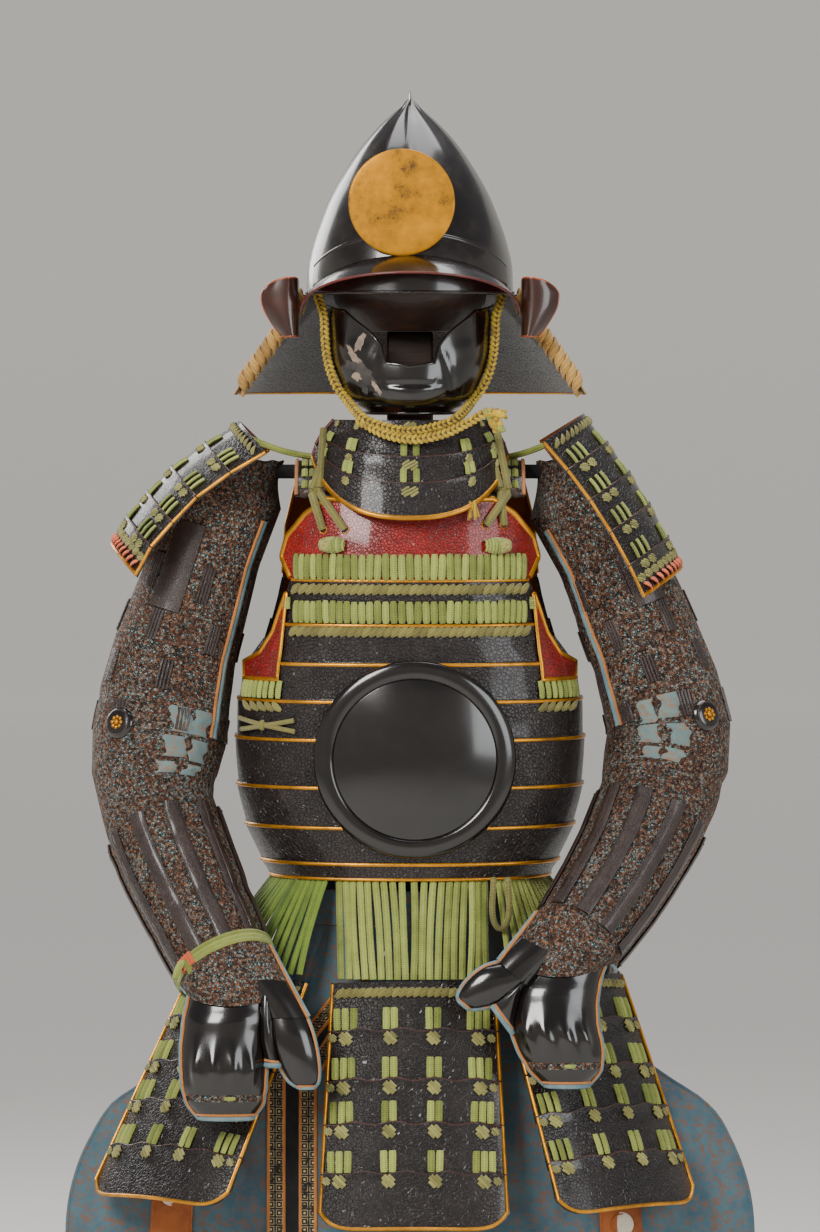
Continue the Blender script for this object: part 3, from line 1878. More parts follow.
        verts = maker.grid(96, last, place, palette.black)
        maker.weld(verts, 0.05)
        maker.finish(["front_roundel"], "black_lacquer")

    def build(self, palette: Palette) -> None:
        """Builds the body armour."""
        for front in (True, False):
            self.shell(front, palette)
            self.plate(front, palette)
        self.braids(palette)
        self.ties(palette)
        self.lacing(palette)
        self.panels(palette)
        self.roundel(palette)


@dataclass(frozen=True)
class Tassets:
    """Hanging tassets: lames, lacing, knots and suspension cords."""

    lame: float = 2.0
    step: float = 3.0
    tuck: float = 7.0
    wave: float = 1.9
    pitch: float = 44.0
    cord: float = 8.2
    hanger: float = 7.52
    corner: float = 20.0

    def half(self, frame_: TassetFrame, at: float) -> float:
        """Half width of a tasset at a distance down."""
        return mix(frame_.top, frame_.bottom, max(0.0, at) / TASSET_LAMES[-1])

    def build_one(self, frame_: TassetFrame, palette: Palette) -> None:
        """One tasset.

        Args:
            frame_: its frame.
            palette: finishes.
        """
        maker = Maker(f"tasset {frame_.name} look")
        rng = random.Random(SEED + len(frame_.name) * 7)
        trim = Trim(maker, palette, rng)

        def place(x: float, at: float, out: float) -> Vector:
            return frame_.place(at, clamp(x / self.half(frame_, at), -1.2, 1.2), out)

        count = len(TASSET_LAMES) - 1
        for i in range(count):
            top = TASSET_LAMES[i]
            final = i == count - 1
            bottom = TASSET_LAMES[i + 1] + (0 if final else self.tuck)
            phase = rng.uniform(0, 6)

            def edge(x: float, top: float = top, phase: float = phase, i: int = i) -> float:
                if i == 0:
                    return top + 0.5
                return top + self.wave * math.sin(2 * math.pi * x / self.pitch + phase) * 0.9

            def shape(
                u: float, v: float, inside: float, top: float = top, bottom: float = bottom,
                final: bool = final, edge: Callable = edge,
            ) -> Vector:
                share = mix(-1, 1, u)
                down = 1 - v
                middle = mix(top, bottom, down)
                half = self.half(frame_, middle)
                x = share * half
                fall = (1 - down) ** 6
                at = mix(top, bottom, down) + (edge(x) - top) * fall
                out = mix(self.step + 0.3, 0.6 if not final else 1.4, down)
                if final:
                    at -= self.corner * abs(share) ** 9 * down
                lip = 0.9 * math.exp(-(((at - top) / 3.0) ** 2))
                return place(x, at, out + lip - inside)

            maker.leaf(
                44, 10, shape, 0, self.lame, palette.brown, palette.leather, tint=rng.uniform(0.2, 0.55)
            )
            low = bottom - (self.tuck if not final else self.corner)
            for side in (-1, 1):
                stations = []
                for k in range(13):
                    at = mix(top + 1.5, low, k / 12)
                    stations.append((side * (self.half(frame_, at) - 1.4), at))
                trim.edge(place, stations, self.step - 0.6, 4.0, 4.4, palette.gilt)
            if i > 0:
                stations = [
                    (
                        mix(-0.985, 0.985, k / 90) * self.half(frame_, top),
                        edge(mix(-0.985, 0.985, k / 90) * self.half(frame_, top)),
                    )
                    for k in range(91)
                ]
                trim.edge(place, stations, self.step + 0.2, 2.2, 2.2, palette.lame_edge)
                self.joint(trim, place, frame_, top, palette)
        self.hem(trim, place, frame_, palette)
        length = self.half(frame_, 0) * 2
        trim.braid(place, (-length * 0.465, 12), (length * 0.465, 12), 10, self.step + 0.6, 7.4, -0.9)
        maker.finish([f"tasset_{frame_.name}"], "brown_lacquer")

    def joint(self, trim: Trim, place: Place, frame_: TassetFrame, top: float, palette: Palette) -> None:
        """Cords and knots over one joint."""
        half = self.half(frame_, top)
        scale = half / 95
        groups = ((-76, 3), (-26, 2), (22, 2), (72, 3))
        for centre, cords in groups:
            middle = centre * scale
            for k in range(cords):
                x = middle + (k - (cords - 1) / 2) * self.cord * 1.06
                lean = trim.rng.uniform(-0.8, 0.8)
                points, normals = route(place, (x + lean, top - 24), (x, top - 0.6), 7, 2.2, 0.7)
                trim.maker.strand(
                    points, normals, self.cord * 0.98, 3.8, palette.lacing, trim.shade(), taper=0.14
                )
            trim.cross(place, middle, top + 9, self.step + 1.0, 13, 5.0)
            if cords == 3:
                outer = middle + math.copysign(self.cord * 1.7, centre)
                trim.cross(place, outer, top + 8, self.step + 1.0, 8, 3.8)

    def hem(self, trim: Trim, place: Place, frame_: TassetFrame, palette: Palette) -> None:
        """Gilt rim round the bottom."""
        length = TASSET_LAMES[-1]
        half = self.half(frame_, length - self.corner) - 1.6
        stations = []
        for k in range(61):
            share = mix(-1, 1, k / 60)
            at = length - 1.5 - self.corner * abs(share) ** 9
            stations.append((share * half, at))
        trim.edge(place, stations, 1.6, 4.4, 4.6, palette.gilt)

    def suspend(self, frame_: TassetFrame, start: float, end: float, count: int, palette: Palette) -> None:
        """Upright cords from the body's lower edge to one tasset."""
        maker = Maker(f"suspension {frame_.name} cords")
        rng = random.Random(SEED * 3 + count)
        inner = 2.0
        for i in range(count):
            t = (i + 0.5) / count
            angle = math.radians(mix(start, end, t))
            upper = body_point(712, angle, -1.2)
            upper.z = 711.5
            share = mix(-1, 1, t) * 0.93
            lower = frame_.place(0, share, -inner + 2.2)
            lower.z = TASSET_TOP + math.sin(math.radians(frame_.splay)) * (TASSET_BULGE + self.step) + 0.4
            normal = (body_point(712, angle, 1) - body_point(712, angle, 0)).normalized()
            points = []
            bow = rng.uniform(0.4, 2.6)
            sway = rng.uniform(-1.6, 1.6)
            side = Vector((math.cos(angle), math.sin(angle), 0))
            for k in range(10):
                s = k / 9
                point = upper.lerp(lower, s) + normal * (bow * math.sin(math.pi * s)) + side * (
                    sway * math.sin(math.pi * s)
                )
                points.append(point)
            finish = palette.green if frame_.name in (
                "front_left", "side_left", "side_right"
            ) else palette.lacing
            shade = clamp(rng.gauss(0.5, 0.3))
            maker.strand(points, [normal] * 10, self.hanger, 4.2, finish, shade, taper=0.02)
        maker.finish([f"suspension_{frame_.name}"], "lacing")

    def build(self, palette: Palette) -> None:
        """Builds all tassets."""
        frames = {row[0]: TassetFrame(*row) for row in TASSETS}
        for frame_ in frames.values():
            self.build_one(frame_, palette)
        for name, start, end, count in SUSPENSION:
            self.suspend(frames[name], start, end, count, palette)


@dataclass(frozen=True)
class Helmet:
    """Helmet: ridged bowl, brow band, peak, worn disc, turned-back ears, neck guard and chin cord."""

    wall: float = 2.5
    ridge: float = 2.2
    disc_x: float = -9.0
    disc_y: float = -112.9
    disc_z: float = 1437.0
    disc_radius: float = 57.0
    sweep: float = 76.0
    turn_plan: tuple = ((122, -11.2), (122, -34), (124, -51), (134, -58), (147, -55), (158, -46))
    cord_radius: float = 4.6

    def bowl(self, palette: Palette) -> None:
        """Bowl with a front ridge, a top flange and a raised brow band."""
        maker = Maker("helmet bowl look")
        rows = 60
        columns = 128
        low = BOWL[0][0]
        high = 1551.4

        def outer(u: float, v: float) -> Vector:
            z = mix(low, high, v**0.86)
            angle = 2 * math.pi * u
            front = math.exp(
                -((math.sin(angle) * smooth(BOWL, z, 1) / 4.2) ** 2)
            ) * (1 if math.cos(angle) > 0 else 0.6)
            ridge = self.ridge * front * clamp((z - 1400) / 30) * clamp((1552 - z) / 6)
            ribs = 0.35 * math.cos(angle * 12)
            return bowl_point(z, angle, ridge + ribs * clamp((z - 1350) / 20))

        def inner(u: float, v: float) -> Vector:
            return bowl_point(mix(low, high - 3, v**0.86), 2 * math.pi * u, -self.wall)

        maker.shell(columns, rows, outer, inner, palette.helmet, palette.brown, ring=True)
        trim = Trim(maker, palette, random.Random(SEED + 11))
        hemline = [(2 * math.pi * i / 120, 1341.5) for i in range(120)]
        trim.edge(
            lambda a, z, out: bowl_point(z, a, out), hemline, 0.2, 3.6, 3.6, palette.brown, closed=True
        )
        self.band(trim, palette)
        self.flange(trim, palette)
        maker.finish(["helmet_bowl"], "black_lacquer")

    def band(self, trim: Trim, palette: Palette) -> None:
        """Raised brow band above the peak."""
        stations = []
        for i in range(61):
            angle = math.radians(mix(-68, 68, i / 60))
            stations.append((angle, 1404 - 34 * (angle / math.radians(68)) ** 2))

        def place(a: float, z: float, out: float) -> Vector:
            return bowl_point(z, a, out)

        trim.edge(place, stations, 0.4, 5.0, 3.0, palette.helmet)
        trim.maker.shell(
            60, 6,
            lambda u, v: place(*self.below(stations, u, v), 1.3),
            lambda u, v: place(*self.below(stations, u, v), -0.4),
            palette.helmet,
        )

    def below(self, stations: Sequence[tuple], u: float, v: float) -> tuple:
        """Place under the band: across by u, from the peak's root up to the band by v."""
        angle, top = stations[round(u * (len(stations) - 1))]
        return angle, mix(max(1342.0, 1381 - 46 * (angle / math.radians(self.sweep)) ** 2), top, v)

    def flange(self, trim: Trim, palette: Palette) -> None:
        """Small upright plate at the top."""
        apex = Vector((0, BOWL_SHIFT, 1550))
        points = [apex + Vector((0, mix(-15, 15, i / 12), 1.0 - abs(i / 12 - 0.5) * 9)) for i in range(13)]
        trim.maker.strand(points, [Vector((0, 0, 1))] * 13, 3.6, 20.0, palette.helmet, taper=0.3)

    def peak(self, palette: Palette) -> None:
        """Peak with a red-brown lip and a red underside."""
        maker = Maker("helmet peak look")
        reach_rows = ((0, 0, 0), (0.5, 18, 7), (1, 34, 17))
        sweep = math.radians(self.sweep)

        def place(u: float, v: float, drop: float) -> Vector:
            angle = mix(-1, 1, u) * sweep
            side = (angle / sweep) ** 2
            fall = smooth(reach_rows, v, 2)
            z = 1380 - 46 * side - fall
            reach = 1.6 + smooth(reach_rows, v, 1) * (0.04 + 0.96 * math.cos(angle))
            point = bowl_point(max(z, 1341), angle, reach)
            point.z = z - drop
            return point

        maker.leaf(72, 10, place, -0.4, 2.0, palette.helmet, palette.red)
        points = [place(i / 80, 1.0, 0.8) for i in range(81)]
        normals = [(point - place(i / 80, 0.8, 0.8)).normalized() for i, point in enumerate(points)]
        maker.strand(points, normals, 2.8, 2.8, palette.red_edge, taper=0.01)
        maker.finish(["helmet_peak"], "black_lacquer")

    def disc(self, palette: Palette) -> None:
        """Plain domed disc."""
        maker = Maker("helmet disc look")
        profile = [
            (0.0, 3.6),
            (20.0, 3.5),
            (38.0, 3.1),
            (50.0, 2.6),
            (54.5, 2.4),
            (56.4, 2.0),
            (self.disc_radius, 1.2),
            (56.4, 0.3),
            (0.0, 0.2),
        ]
        last = len(profile) - 1

        def place(u: float, v: float) -> Vector:
            r, out = profile[round(v * last)]
            turn = 2 * math.pi * u
            dent = 0.35 * math.sin(turn * 3 + 1) * (r / self.disc_radius) ** 2
            x = self.disc_x + r * math.sin(turn)
            return Vector((x, self.disc_y - out + dent * 0.4, self.disc_z + r * math.cos(turn)))

        verts = maker.grid(80, last, place, palette.disc)
        maker.weld(verts, 0.05)
        maker.finish(["helmet_disc"], "gilt")

    def ear(self, side: int, palette: Palette) -> None:
        """One turned-back ear with a brown face, an amber lining and an edge of its own."""
        name = "left" if side < 0 else "right"
        maker = Maker(f"turn-back {name} look")
        share_rows = ((1294, 0.40), (1306, 0.66), (1326, 0.96), (1344, 1.03), (1358, 0.90))
        plan = [(i / 5, x, y) for i, (x, y) in enumerate(self.turn_plan)]

        def place(u: float, v: float, out: float) -> Vector:
            z = mix(1294, 1358, v)
            share = smooth(share_rows, z, 1)
            z -= 11 * (2 * u - 1) ** 2 * v**3
            x, y = smooth(plan, u, 1), smooth(plan, u, 2)
            ahead = (smooth(plan, min(1, u + 0.02), 1), smooth(plan, min(1, u + 0.02), 2))
            behind = (smooth(plan, max(0, u - 0.02), 1), smooth(plan, max(0, u - 0.02), 2))
            line = Vector((ahead[0] - behind[0], ahead[1] - behind[1], 0)).normalized()
            wide = self.turn_plan[0][0] + (x - self.turn_plan[0][0]) * share
            return Vector((side * (wide + line.y * out), y - line.x * out, z))

        maker.leaf(32, 24, place, 2.2, 0.2, palette.ear, palette.amber)
        border = [(u / 16, 0.01) for u in range(17)]
        border += [(0.995, v / 14) for v in range(1, 14)]
        border += [(1 - u / 16, 0.99) for u in range(17)]
        points = [place(u, v, 1.1) for u, v in border]
        normals = [(place(u, v, 2) - place(u, v, 1)).normalized() for u, v in border]
        maker.strand(points, normals, 2.8, 2.8, palette.amber, 0.6)
        maker.finish([f"helmet_turnback_{name}"], "brown_lacquer")

    def neck(self, palette: Palette) -> None:
        """Neck guard: four lames with laced cords and twisted cord edges."""
        maker = Maker("neck guard look")
        rng = random.Random(SEED + 14)
        trim = Trim(maker, palette, rng)
        first, last = NECK_LAMES[0], NECK_LAMES[-1]

        def place(angle: float, z: float, out: float) -> Vector:
            t = (first[0] - z) / (first[0] - last[1])
            reach = mix(first[2], last[3], t) + out
            return Vector((reach * math.sin(angle), BOWL_SHIFT - 1.1 * reach * math.cos(angle), z))

        sweep = math.radians(NECK_SWEEP)
        for i, (top, bottom, _, _) in enumerate(NECK_LAMES):
            final = i == len(NECK_LAMES) - 1
            low = bottom if final else bottom - 1.0

            def shape(
                u: float, v: float, inside: float, top: float = top, low: float = low,
                final: bool = final, i: int = i,
            ) -> Vector:
                angle = math.pi + mix(-1, 1, u) * sweep
                z = mix(low, top, v)
                notch = 0.9 * math.sin(angle * 66) * v**6 if i else 0.0
                out = mix(1.0 if final else 0.2, 3.6, v)
                lip = 0.8 * math.exp(-(((z - top) / 3.0) ** 2))
                return place(angle, z + notch, out + lip - inside)

            maker.leaf(120, 7, shape, 0, 2.0, palette.helmet, palette.brown)
            if i:
                for k in range(27):
                    angle = math.pi + mix(-0.94, 0.94, k / 26) * sweep
                    reach = first[2] + 30
                    for shift in (-0.5, 0.5):
                        a = angle + shift * 5.6 / reach
                        points, normals = route(place, (a, top + 17), (a, top - 3), 5, 2.4, 1.6)
                        maker.strand(points, normals, 5.2, 3.2, palette.lacing, trim.shade(), taper=0.12)
                stations = [(math.pi + mix(-0.985, 0.985, k / 120) * sweep, top + 0.4) for k in range(121)]
                trim.edge(place, stations, 3.6, 2.0, 2.0, palette.lame_edge)
            for side in (-1, 1):
                points = []
                normals = []
                for k in range(9):
                    z = mix(top, low, k / 8)
                    points.append(place(math.pi + side * sweep * 0.99, z, mix(3.4, 0.8, k / 8) - 0.6))
                    normals.append(Vector((side, 0.2, 0.2)).normalized())
                maker.strand(points, normals, 4.0, 4.0, palette.twist, 0.4)
        self.wraps(maker, place, sweep, trim, palette)
        stations = [(math.pi + mix(-0.985, 0.985, k / 120) * sweep, last[1] + 1) for k in range(121)]
        trim.edge(place, stations, 0.4, 3.6, 3.6, palette.gilt)
        maker.finish(["neck_guard"], "black_lacquer")

    def wraps(self, maker: Maker, place: Place, sweep: float, trim: Trim, palette: Palette) -> None:
        """Twisted cord wound round the front edges of the neck guard."""
        for side in (-1, 1):
            end = math.pi + side * sweep
            for k in range(11):
                z = mix(1332, 1244, k / 10)
                centre = place(end, z, 1.0)
                normal = normal_at(place, end, z, 1.0)
                ahead = (place(end + side * 0.02, z, 1.0) - centre).normalized()
                down = (place(end, z - 4, 1.0) - centre).normalized()
                points = []
                normals = []
                for i in range(11):
                    turn = mix(-2.0, 2.0, i / 10)
                    spoke = ahead * math.cos(turn) + normal * math.sin(turn)
                    points.append(centre + spoke * 8.0 - ahead * 3 + down * (turn * -6.8))
                    normals.append(spoke)
                maker.strand(points, normals, 11.0, 5.0, palette.twist, trim.shade(0.55, 0.25), taper=0.06)

    def chin_points(self) -> list:
        """Route of the chin cord, in millimetres."""
        gap = self.cord_radius + 0.7
        sides = ((1318, 72), (1294, 69), (1268, 66), (1244, 62), (1226, 58))

        def one(side: int) -> list:
            upper = [bowl_point(z, side * math.radians(74), -self.wall - gap) for z in (1356, 1344)]
            return upper + [mask_point(z, side * math.radians(a), gap) for z, a in sides]

        under = [
            (-50, -98, 1207), (-25, -105.4, 1197), (0, -106.4, 1193), (25, -105.4, 1197), (50, -98, 1207)
        ]
        return one(-1) + [Vector(p) for p in under] + one(1)[::-1]

    def plait(
        self, maker: Maker, points: Sequence[Vector], normals: Sequence[Vector], palette: Palette,
    ) -> None:
        """Leaning stitches of a chunky plait along a cord.

        Args:
            maker: the piece.
            points: route of the cord.
            normals: its outward directions.
            palette: finishes.
        """
        rng = random.Random(SEED + 79)
        radius = self.cord_radius
        travelled = 0.0
        due = 2.0
        for i in range(len(points) - 1):
            span = (points[i + 1] - points[i]).length
            line = (points[i + 1] - points[i]).normalized()
            normal = (normals[i] - line * normals[i].dot(line)).normalized()
            across = line.cross(normal)
            while due <= travelled + span:
                spot = points[i] + line * (due - travelled)
                for sign in (-1, 1):
                    centre = spot + across * (sign * radius * 0.46) + normal * (radius * 0.30)
                    lean = (line + across * (sign * 0.8)).normalized()
                    size = (radius * 2.2, radius * 0.98, radius * 1.25)
                    maker.bead(centre, normal, lean, size, palette.chin, clamp(rng.gauss(0.6, 0.25)), 8)
                due += radius * 1.2
            travelled += span

    def chin(self, palette: Palette) -> None:
        """Braided yellow chin cord."""
        maker = Maker("chin cord look")
        rough = self.chin_points()
        keyed = [(i, *p) for i, p in enumerate(rough)]
        fine = [
            Vector((smooth(keyed, i / 8, 1), smooth(keyed, i / 8, 2), smooth(keyed, i / 8, 3)))
            for i in range((len(rough) - 1) * 8 + 1)
        ]
        normals = [Vector((p.x * 0.6, -100, 20)).normalized() for p in fine]
        maker.strand(
            fine, normals, 1.6 * self.cord_radius, 1.6 * self.cord_radius, palette.core, 0.4, sides=12,
            turns=0.13,
        )
        self.plait(maker, fine, normals, palette)
        obj = maker.finish(["helmet_cord"], "yellow_cord")
        self.chin_knot(palette)

    def chin_knot(self, palette: Palette) -> None:
        """Knot of the chin cord at one side, with its two doubled turns under the chin."""
        maker = Maker("chin cord knot")
        rng = random.Random(SEED + 77)
        route_ = [(i, *p) for i, p in enumerate((
            (-56, -96, 1205), (-28, -110, 1190), (4, -115.5, 1184), (36, -113, 1190),
            (62, -108, 1202), (84, -104, 1213), (100, -96, 1211),
        ))]
        fine = [Vector(tuple(smooth(route_, i / 6, c) for c in (1, 2, 3))) for i in range(37)]
        upright = [Vector((0, -1, 0.3)).normalized()] * 37
        maker.strand(fine, upright, 7.0, 7.0, palette.core, 0.4, sides=12, taper=0.02)
        self.plait(maker, fine, upright, palette)
        for k in range(7):
            spot = Vector((86 + rng.uniform(-8, 14), -101 + rng.uniform(-5, 5), 1205 + rng.uniform(-9, 9)))
            lean = Vector((rng.uniform(-1, 1), rng.uniform(-0.3, 0.3), rng.uniform(-1, 1))).normalized()
            maker.bead(
                spot, lean.orthogonal().normalized(), lean, (17, 9, 8),
                palette.chin if k < 5 else palette.lacing, rng.random(), 12,
            )
        for k in range(9):
            start = Vector((67 + rng.uniform(-3, 3), -121, 1118 + rng.uniform(-2, 2)))
            end = start + Vector((rng.uniform(-5, 5), rng.uniform(-3, 0), -16 + rng.uniform(-3, 3)))
            points = [start.lerp(end, i / 5) for i in range(6)]
            maker.strand(
                points, [Vector((0, -1, 0))] * 6, 2.6, 2.2, palette.chin, rng.random(), sides=6, taper=0.1
            )
        maker.finish()

    def build(self, palette: Palette) -> None:
        """Builds the helmet."""
        self.bowl(palette)
        self.peak(palette)
        self.disc(palette)
        for side in (-1, 1):
            self.ear(side, palette)
        self.neck(palette)
        self.chin(palette)


@dataclass(frozen=True)
class Face:
    """Plain half mask and throat guard."""

    bottom: float = 1212.0
    lame: float = 2.0

    def mask(self, palette: Palette) -> None:
        """Gloss half mask of a plain make, with a patch where the lacquer has come off."""
        maker = Maker("mask look")
        span = math.radians(84)

        def at(u: float, v: float, out: float) -> Vector:
            angle = mix(-1, 1, u) * span
            degrees = math.degrees(angle)
            top = straight(MASK_TOP, degrees)
            z = mix(self.bottom, top, v)
            form = 0.0
            cheek = (abs(degrees) - 46) / 15
            form += 4.2 * math.exp(-(cheek**2)) * math.exp(-(((z - 1276) / 20) ** 2))
            chin = math.exp(-((degrees / 15) ** 2)) * math.exp(-(((z - 1227) / 9) ** 2))
            form += 3.2 * chin
            lip = math.exp(-((degrees / 19) ** 2)) * math.exp(-(((z - 1243) / 3.2) ** 2))
            form -= 2.8 * lip
            fold = math.exp(
                -(((abs(degrees) - 27 - (1262 - z) * 0.28) / 3.4) ** 2)
            ) * clamp((1290 - z) / 14) * clamp((z - 1226) / 14)
            form -= 2.2 * fold
            jaw = math.exp(-(((z - 1219) / 4.0) ** 2))
            form += 1.6 * jaw
            return mask_point(z, angle, form + out)

        def outer(u: float, v: float) -> Vector:
            return at(u, v, 0.3)

        maker.shell(112, 44, outer, lambda u, v: at(u, v, -self.lame), palette.black, palette.red)
        rim = [(u / 90, 0.995) for u in range(91)]
        points = [at(u, v, -0.6) for u, v in rim]
        normals = [normal_at(lambda a, b, out: at(a, b, out), u, v, 0) for u, v in rim]
        maker.strand(points, normals, 3.6, 3.6, palette.black, taper=0.01)
        rim = [(u / 60, 0.004) for u in range(61)]
        points = [at(u, v, -0.4) for u, v in rim]
        normals = [normal_at(lambda a, b, out: at(a, b, out), u, v, 0) for u, v in rim]
        maker.strand(points, normals, 4.2, 3.4, palette.black, taper=0.01)
        self.peel(maker, at, palette)
        maker.finish(["mask"], "black_lacquer")

    def peel(self, maker: Maker, at: Place, palette: Palette) -> None:
        """Bare ground on one cheek in uneven flakes."""
        flakes = (
            (0.295, 0.80, 0.018, 0.15, 0.5, palette.peeled),
            (0.270, 0.60, 0.034, 0.11, -0.9, palette.peeled),
            (0.300, 0.47, 0.050, 0.15, -0.5, palette.primer),
            (0.262, 0.40, 0.026, 0.07, 0.3, palette.peeled),
            (0.345, 0.34, 0.020, 0.10, -0.6, palette.peeled),
            (0.240, 0.50, 0.030, 0.06, 0.9, palette.primer),
            (0.285, 0.27, 0.020, 0.05, 0.2, palette.primer),
        )
        for number, (cu, cv, wide, tall, lean, finish) in enumerate(flakes):
            rng = random.Random(SEED + number)
            waves = [rng.uniform(0.55, 1.1) for _ in range(18)]

            def place(u: float, v: float) -> Vector:
                turn = 2 * math.pi * u
                k = u * 18
                low = int(k) % 18
                reach = mix(waves[low], waves[(low + 1) % 18], k - int(k)) * v
                du = wide * reach * math.cos(turn)
                dv = tall * reach * math.sin(turn)
                lift = 0.40 + 0.05 * number + 0.25 * (1 - v)
                return at(cu + du + lean * dv * 0.25, cv + dv, lift)

            maker.weld(maker.grid(54, 4, place, finish), 0.02)

    def throat(self, palette: Palette) -> None:
        """Throat guard: three hanging lames with paired cords and knots."""
        maker = Maker("throat guard look")
        trim = Trim(maker, palette, random.Random(SEED + 15))
        rows = ((1205, 82, 96), (1166.8, 95, 110), (1138.8, 101, 123), (1100, 106, 138))
        keyed = tuple(sorted(rows))
        sweep = math.radians(THROAT_SWEEP)

        def place(angle: float, z: float, out: float) -> Vector:
            share = (1205 - z) / 105
            rise = THROAT_RISE * share * (1 - math.cos(angle))
            half = straight(keyed, z, 1) + out
            front = straight(keyed, z, 2) + out
            power = 2 / THROAT_POWER
            x = half * signed_power(math.sin(angle), power)
            return Vector((x, -front * signed_power(math.cos(angle), power), z + rise))

        for i, (top, bottom) in enumerate(((1205, 1163), (1166, 1134), (1138, 1100))):
            final = i == 2

            def shape(
                u: float, v: float, inside: float, top: float = top, bottom: float = bottom,
                final: bool = final,
            ) -> Vector:
                angle = mix(-1, 1, u) * sweep
                z = mix(bottom, top, v)
                out = mix(1.2 if final else 0.2, 3.2 if top < 1200 else 1.2, v)
                notch = 0.8 * math.sin(angle * 60) * v**6 if top < 1200 else 0.0
                lip = 0.8 * math.exp(-(((z - top) / 3.0) ** 2))
                return place(angle, z + notch, out + lip - inside)

            maker.leaf(90, 8, shape, 0, 2.0, palette.grain, palette.leather)
            if i:
                stations = [(mix(-0.985, 0.985, k / 80) * sweep, top + 0.3) for k in range(81)]
                trim.edge(place, stations, 3.2, 2.2, 2.2, palette.lame_edge)
                radius = 112.0
                for degrees in (-62, -36, 0, 34, 60):
                    centre = math.radians(degrees)
                    for shift in (-0.5, 0.5):
                        a = centre + shift * 7.8 / radius
                        points, normals = route(place, (a, top + 15), (a, top + 0.6), 6, 2.6, 0.7)
                        maker.strand(points, normals, 7.4, 3.8, palette.lacing, trim.shade(), taper=0.14)

                    def flat(x: float, z: float, out: float) -> Vector:
                        return place(x / radius, z, out)

                    trim.cross(flat, centre * radius, top - 9, 3.0, 10, 4.2)
                    if i == 1:
                        trim.cross(flat, centre * radius, 1198, 1.8, 9, 4.0)
            for side in (-1, 1):
                stations = [(side * sweep * 0.985, mix(top, bottom, k / 8)) for k in range(9)]
                trim.edge(place, stations, 1.8, 4.6, 4.0, palette.red_edge)
        stations = [(mix(-0.99, 0.99, k / 90) * sweep, 1101.2) for k in range(91)]
        trim.edge(place, stations, 1.4, 5.4, 4.2, palette.gilt)
        maker.finish(["throat_guard"], "brown_lacquer")

    def build(self, palette: Palette) -> None:
        """Builds the mask and the throat guard."""
        self.mask(palette)
        self.throat(palette)


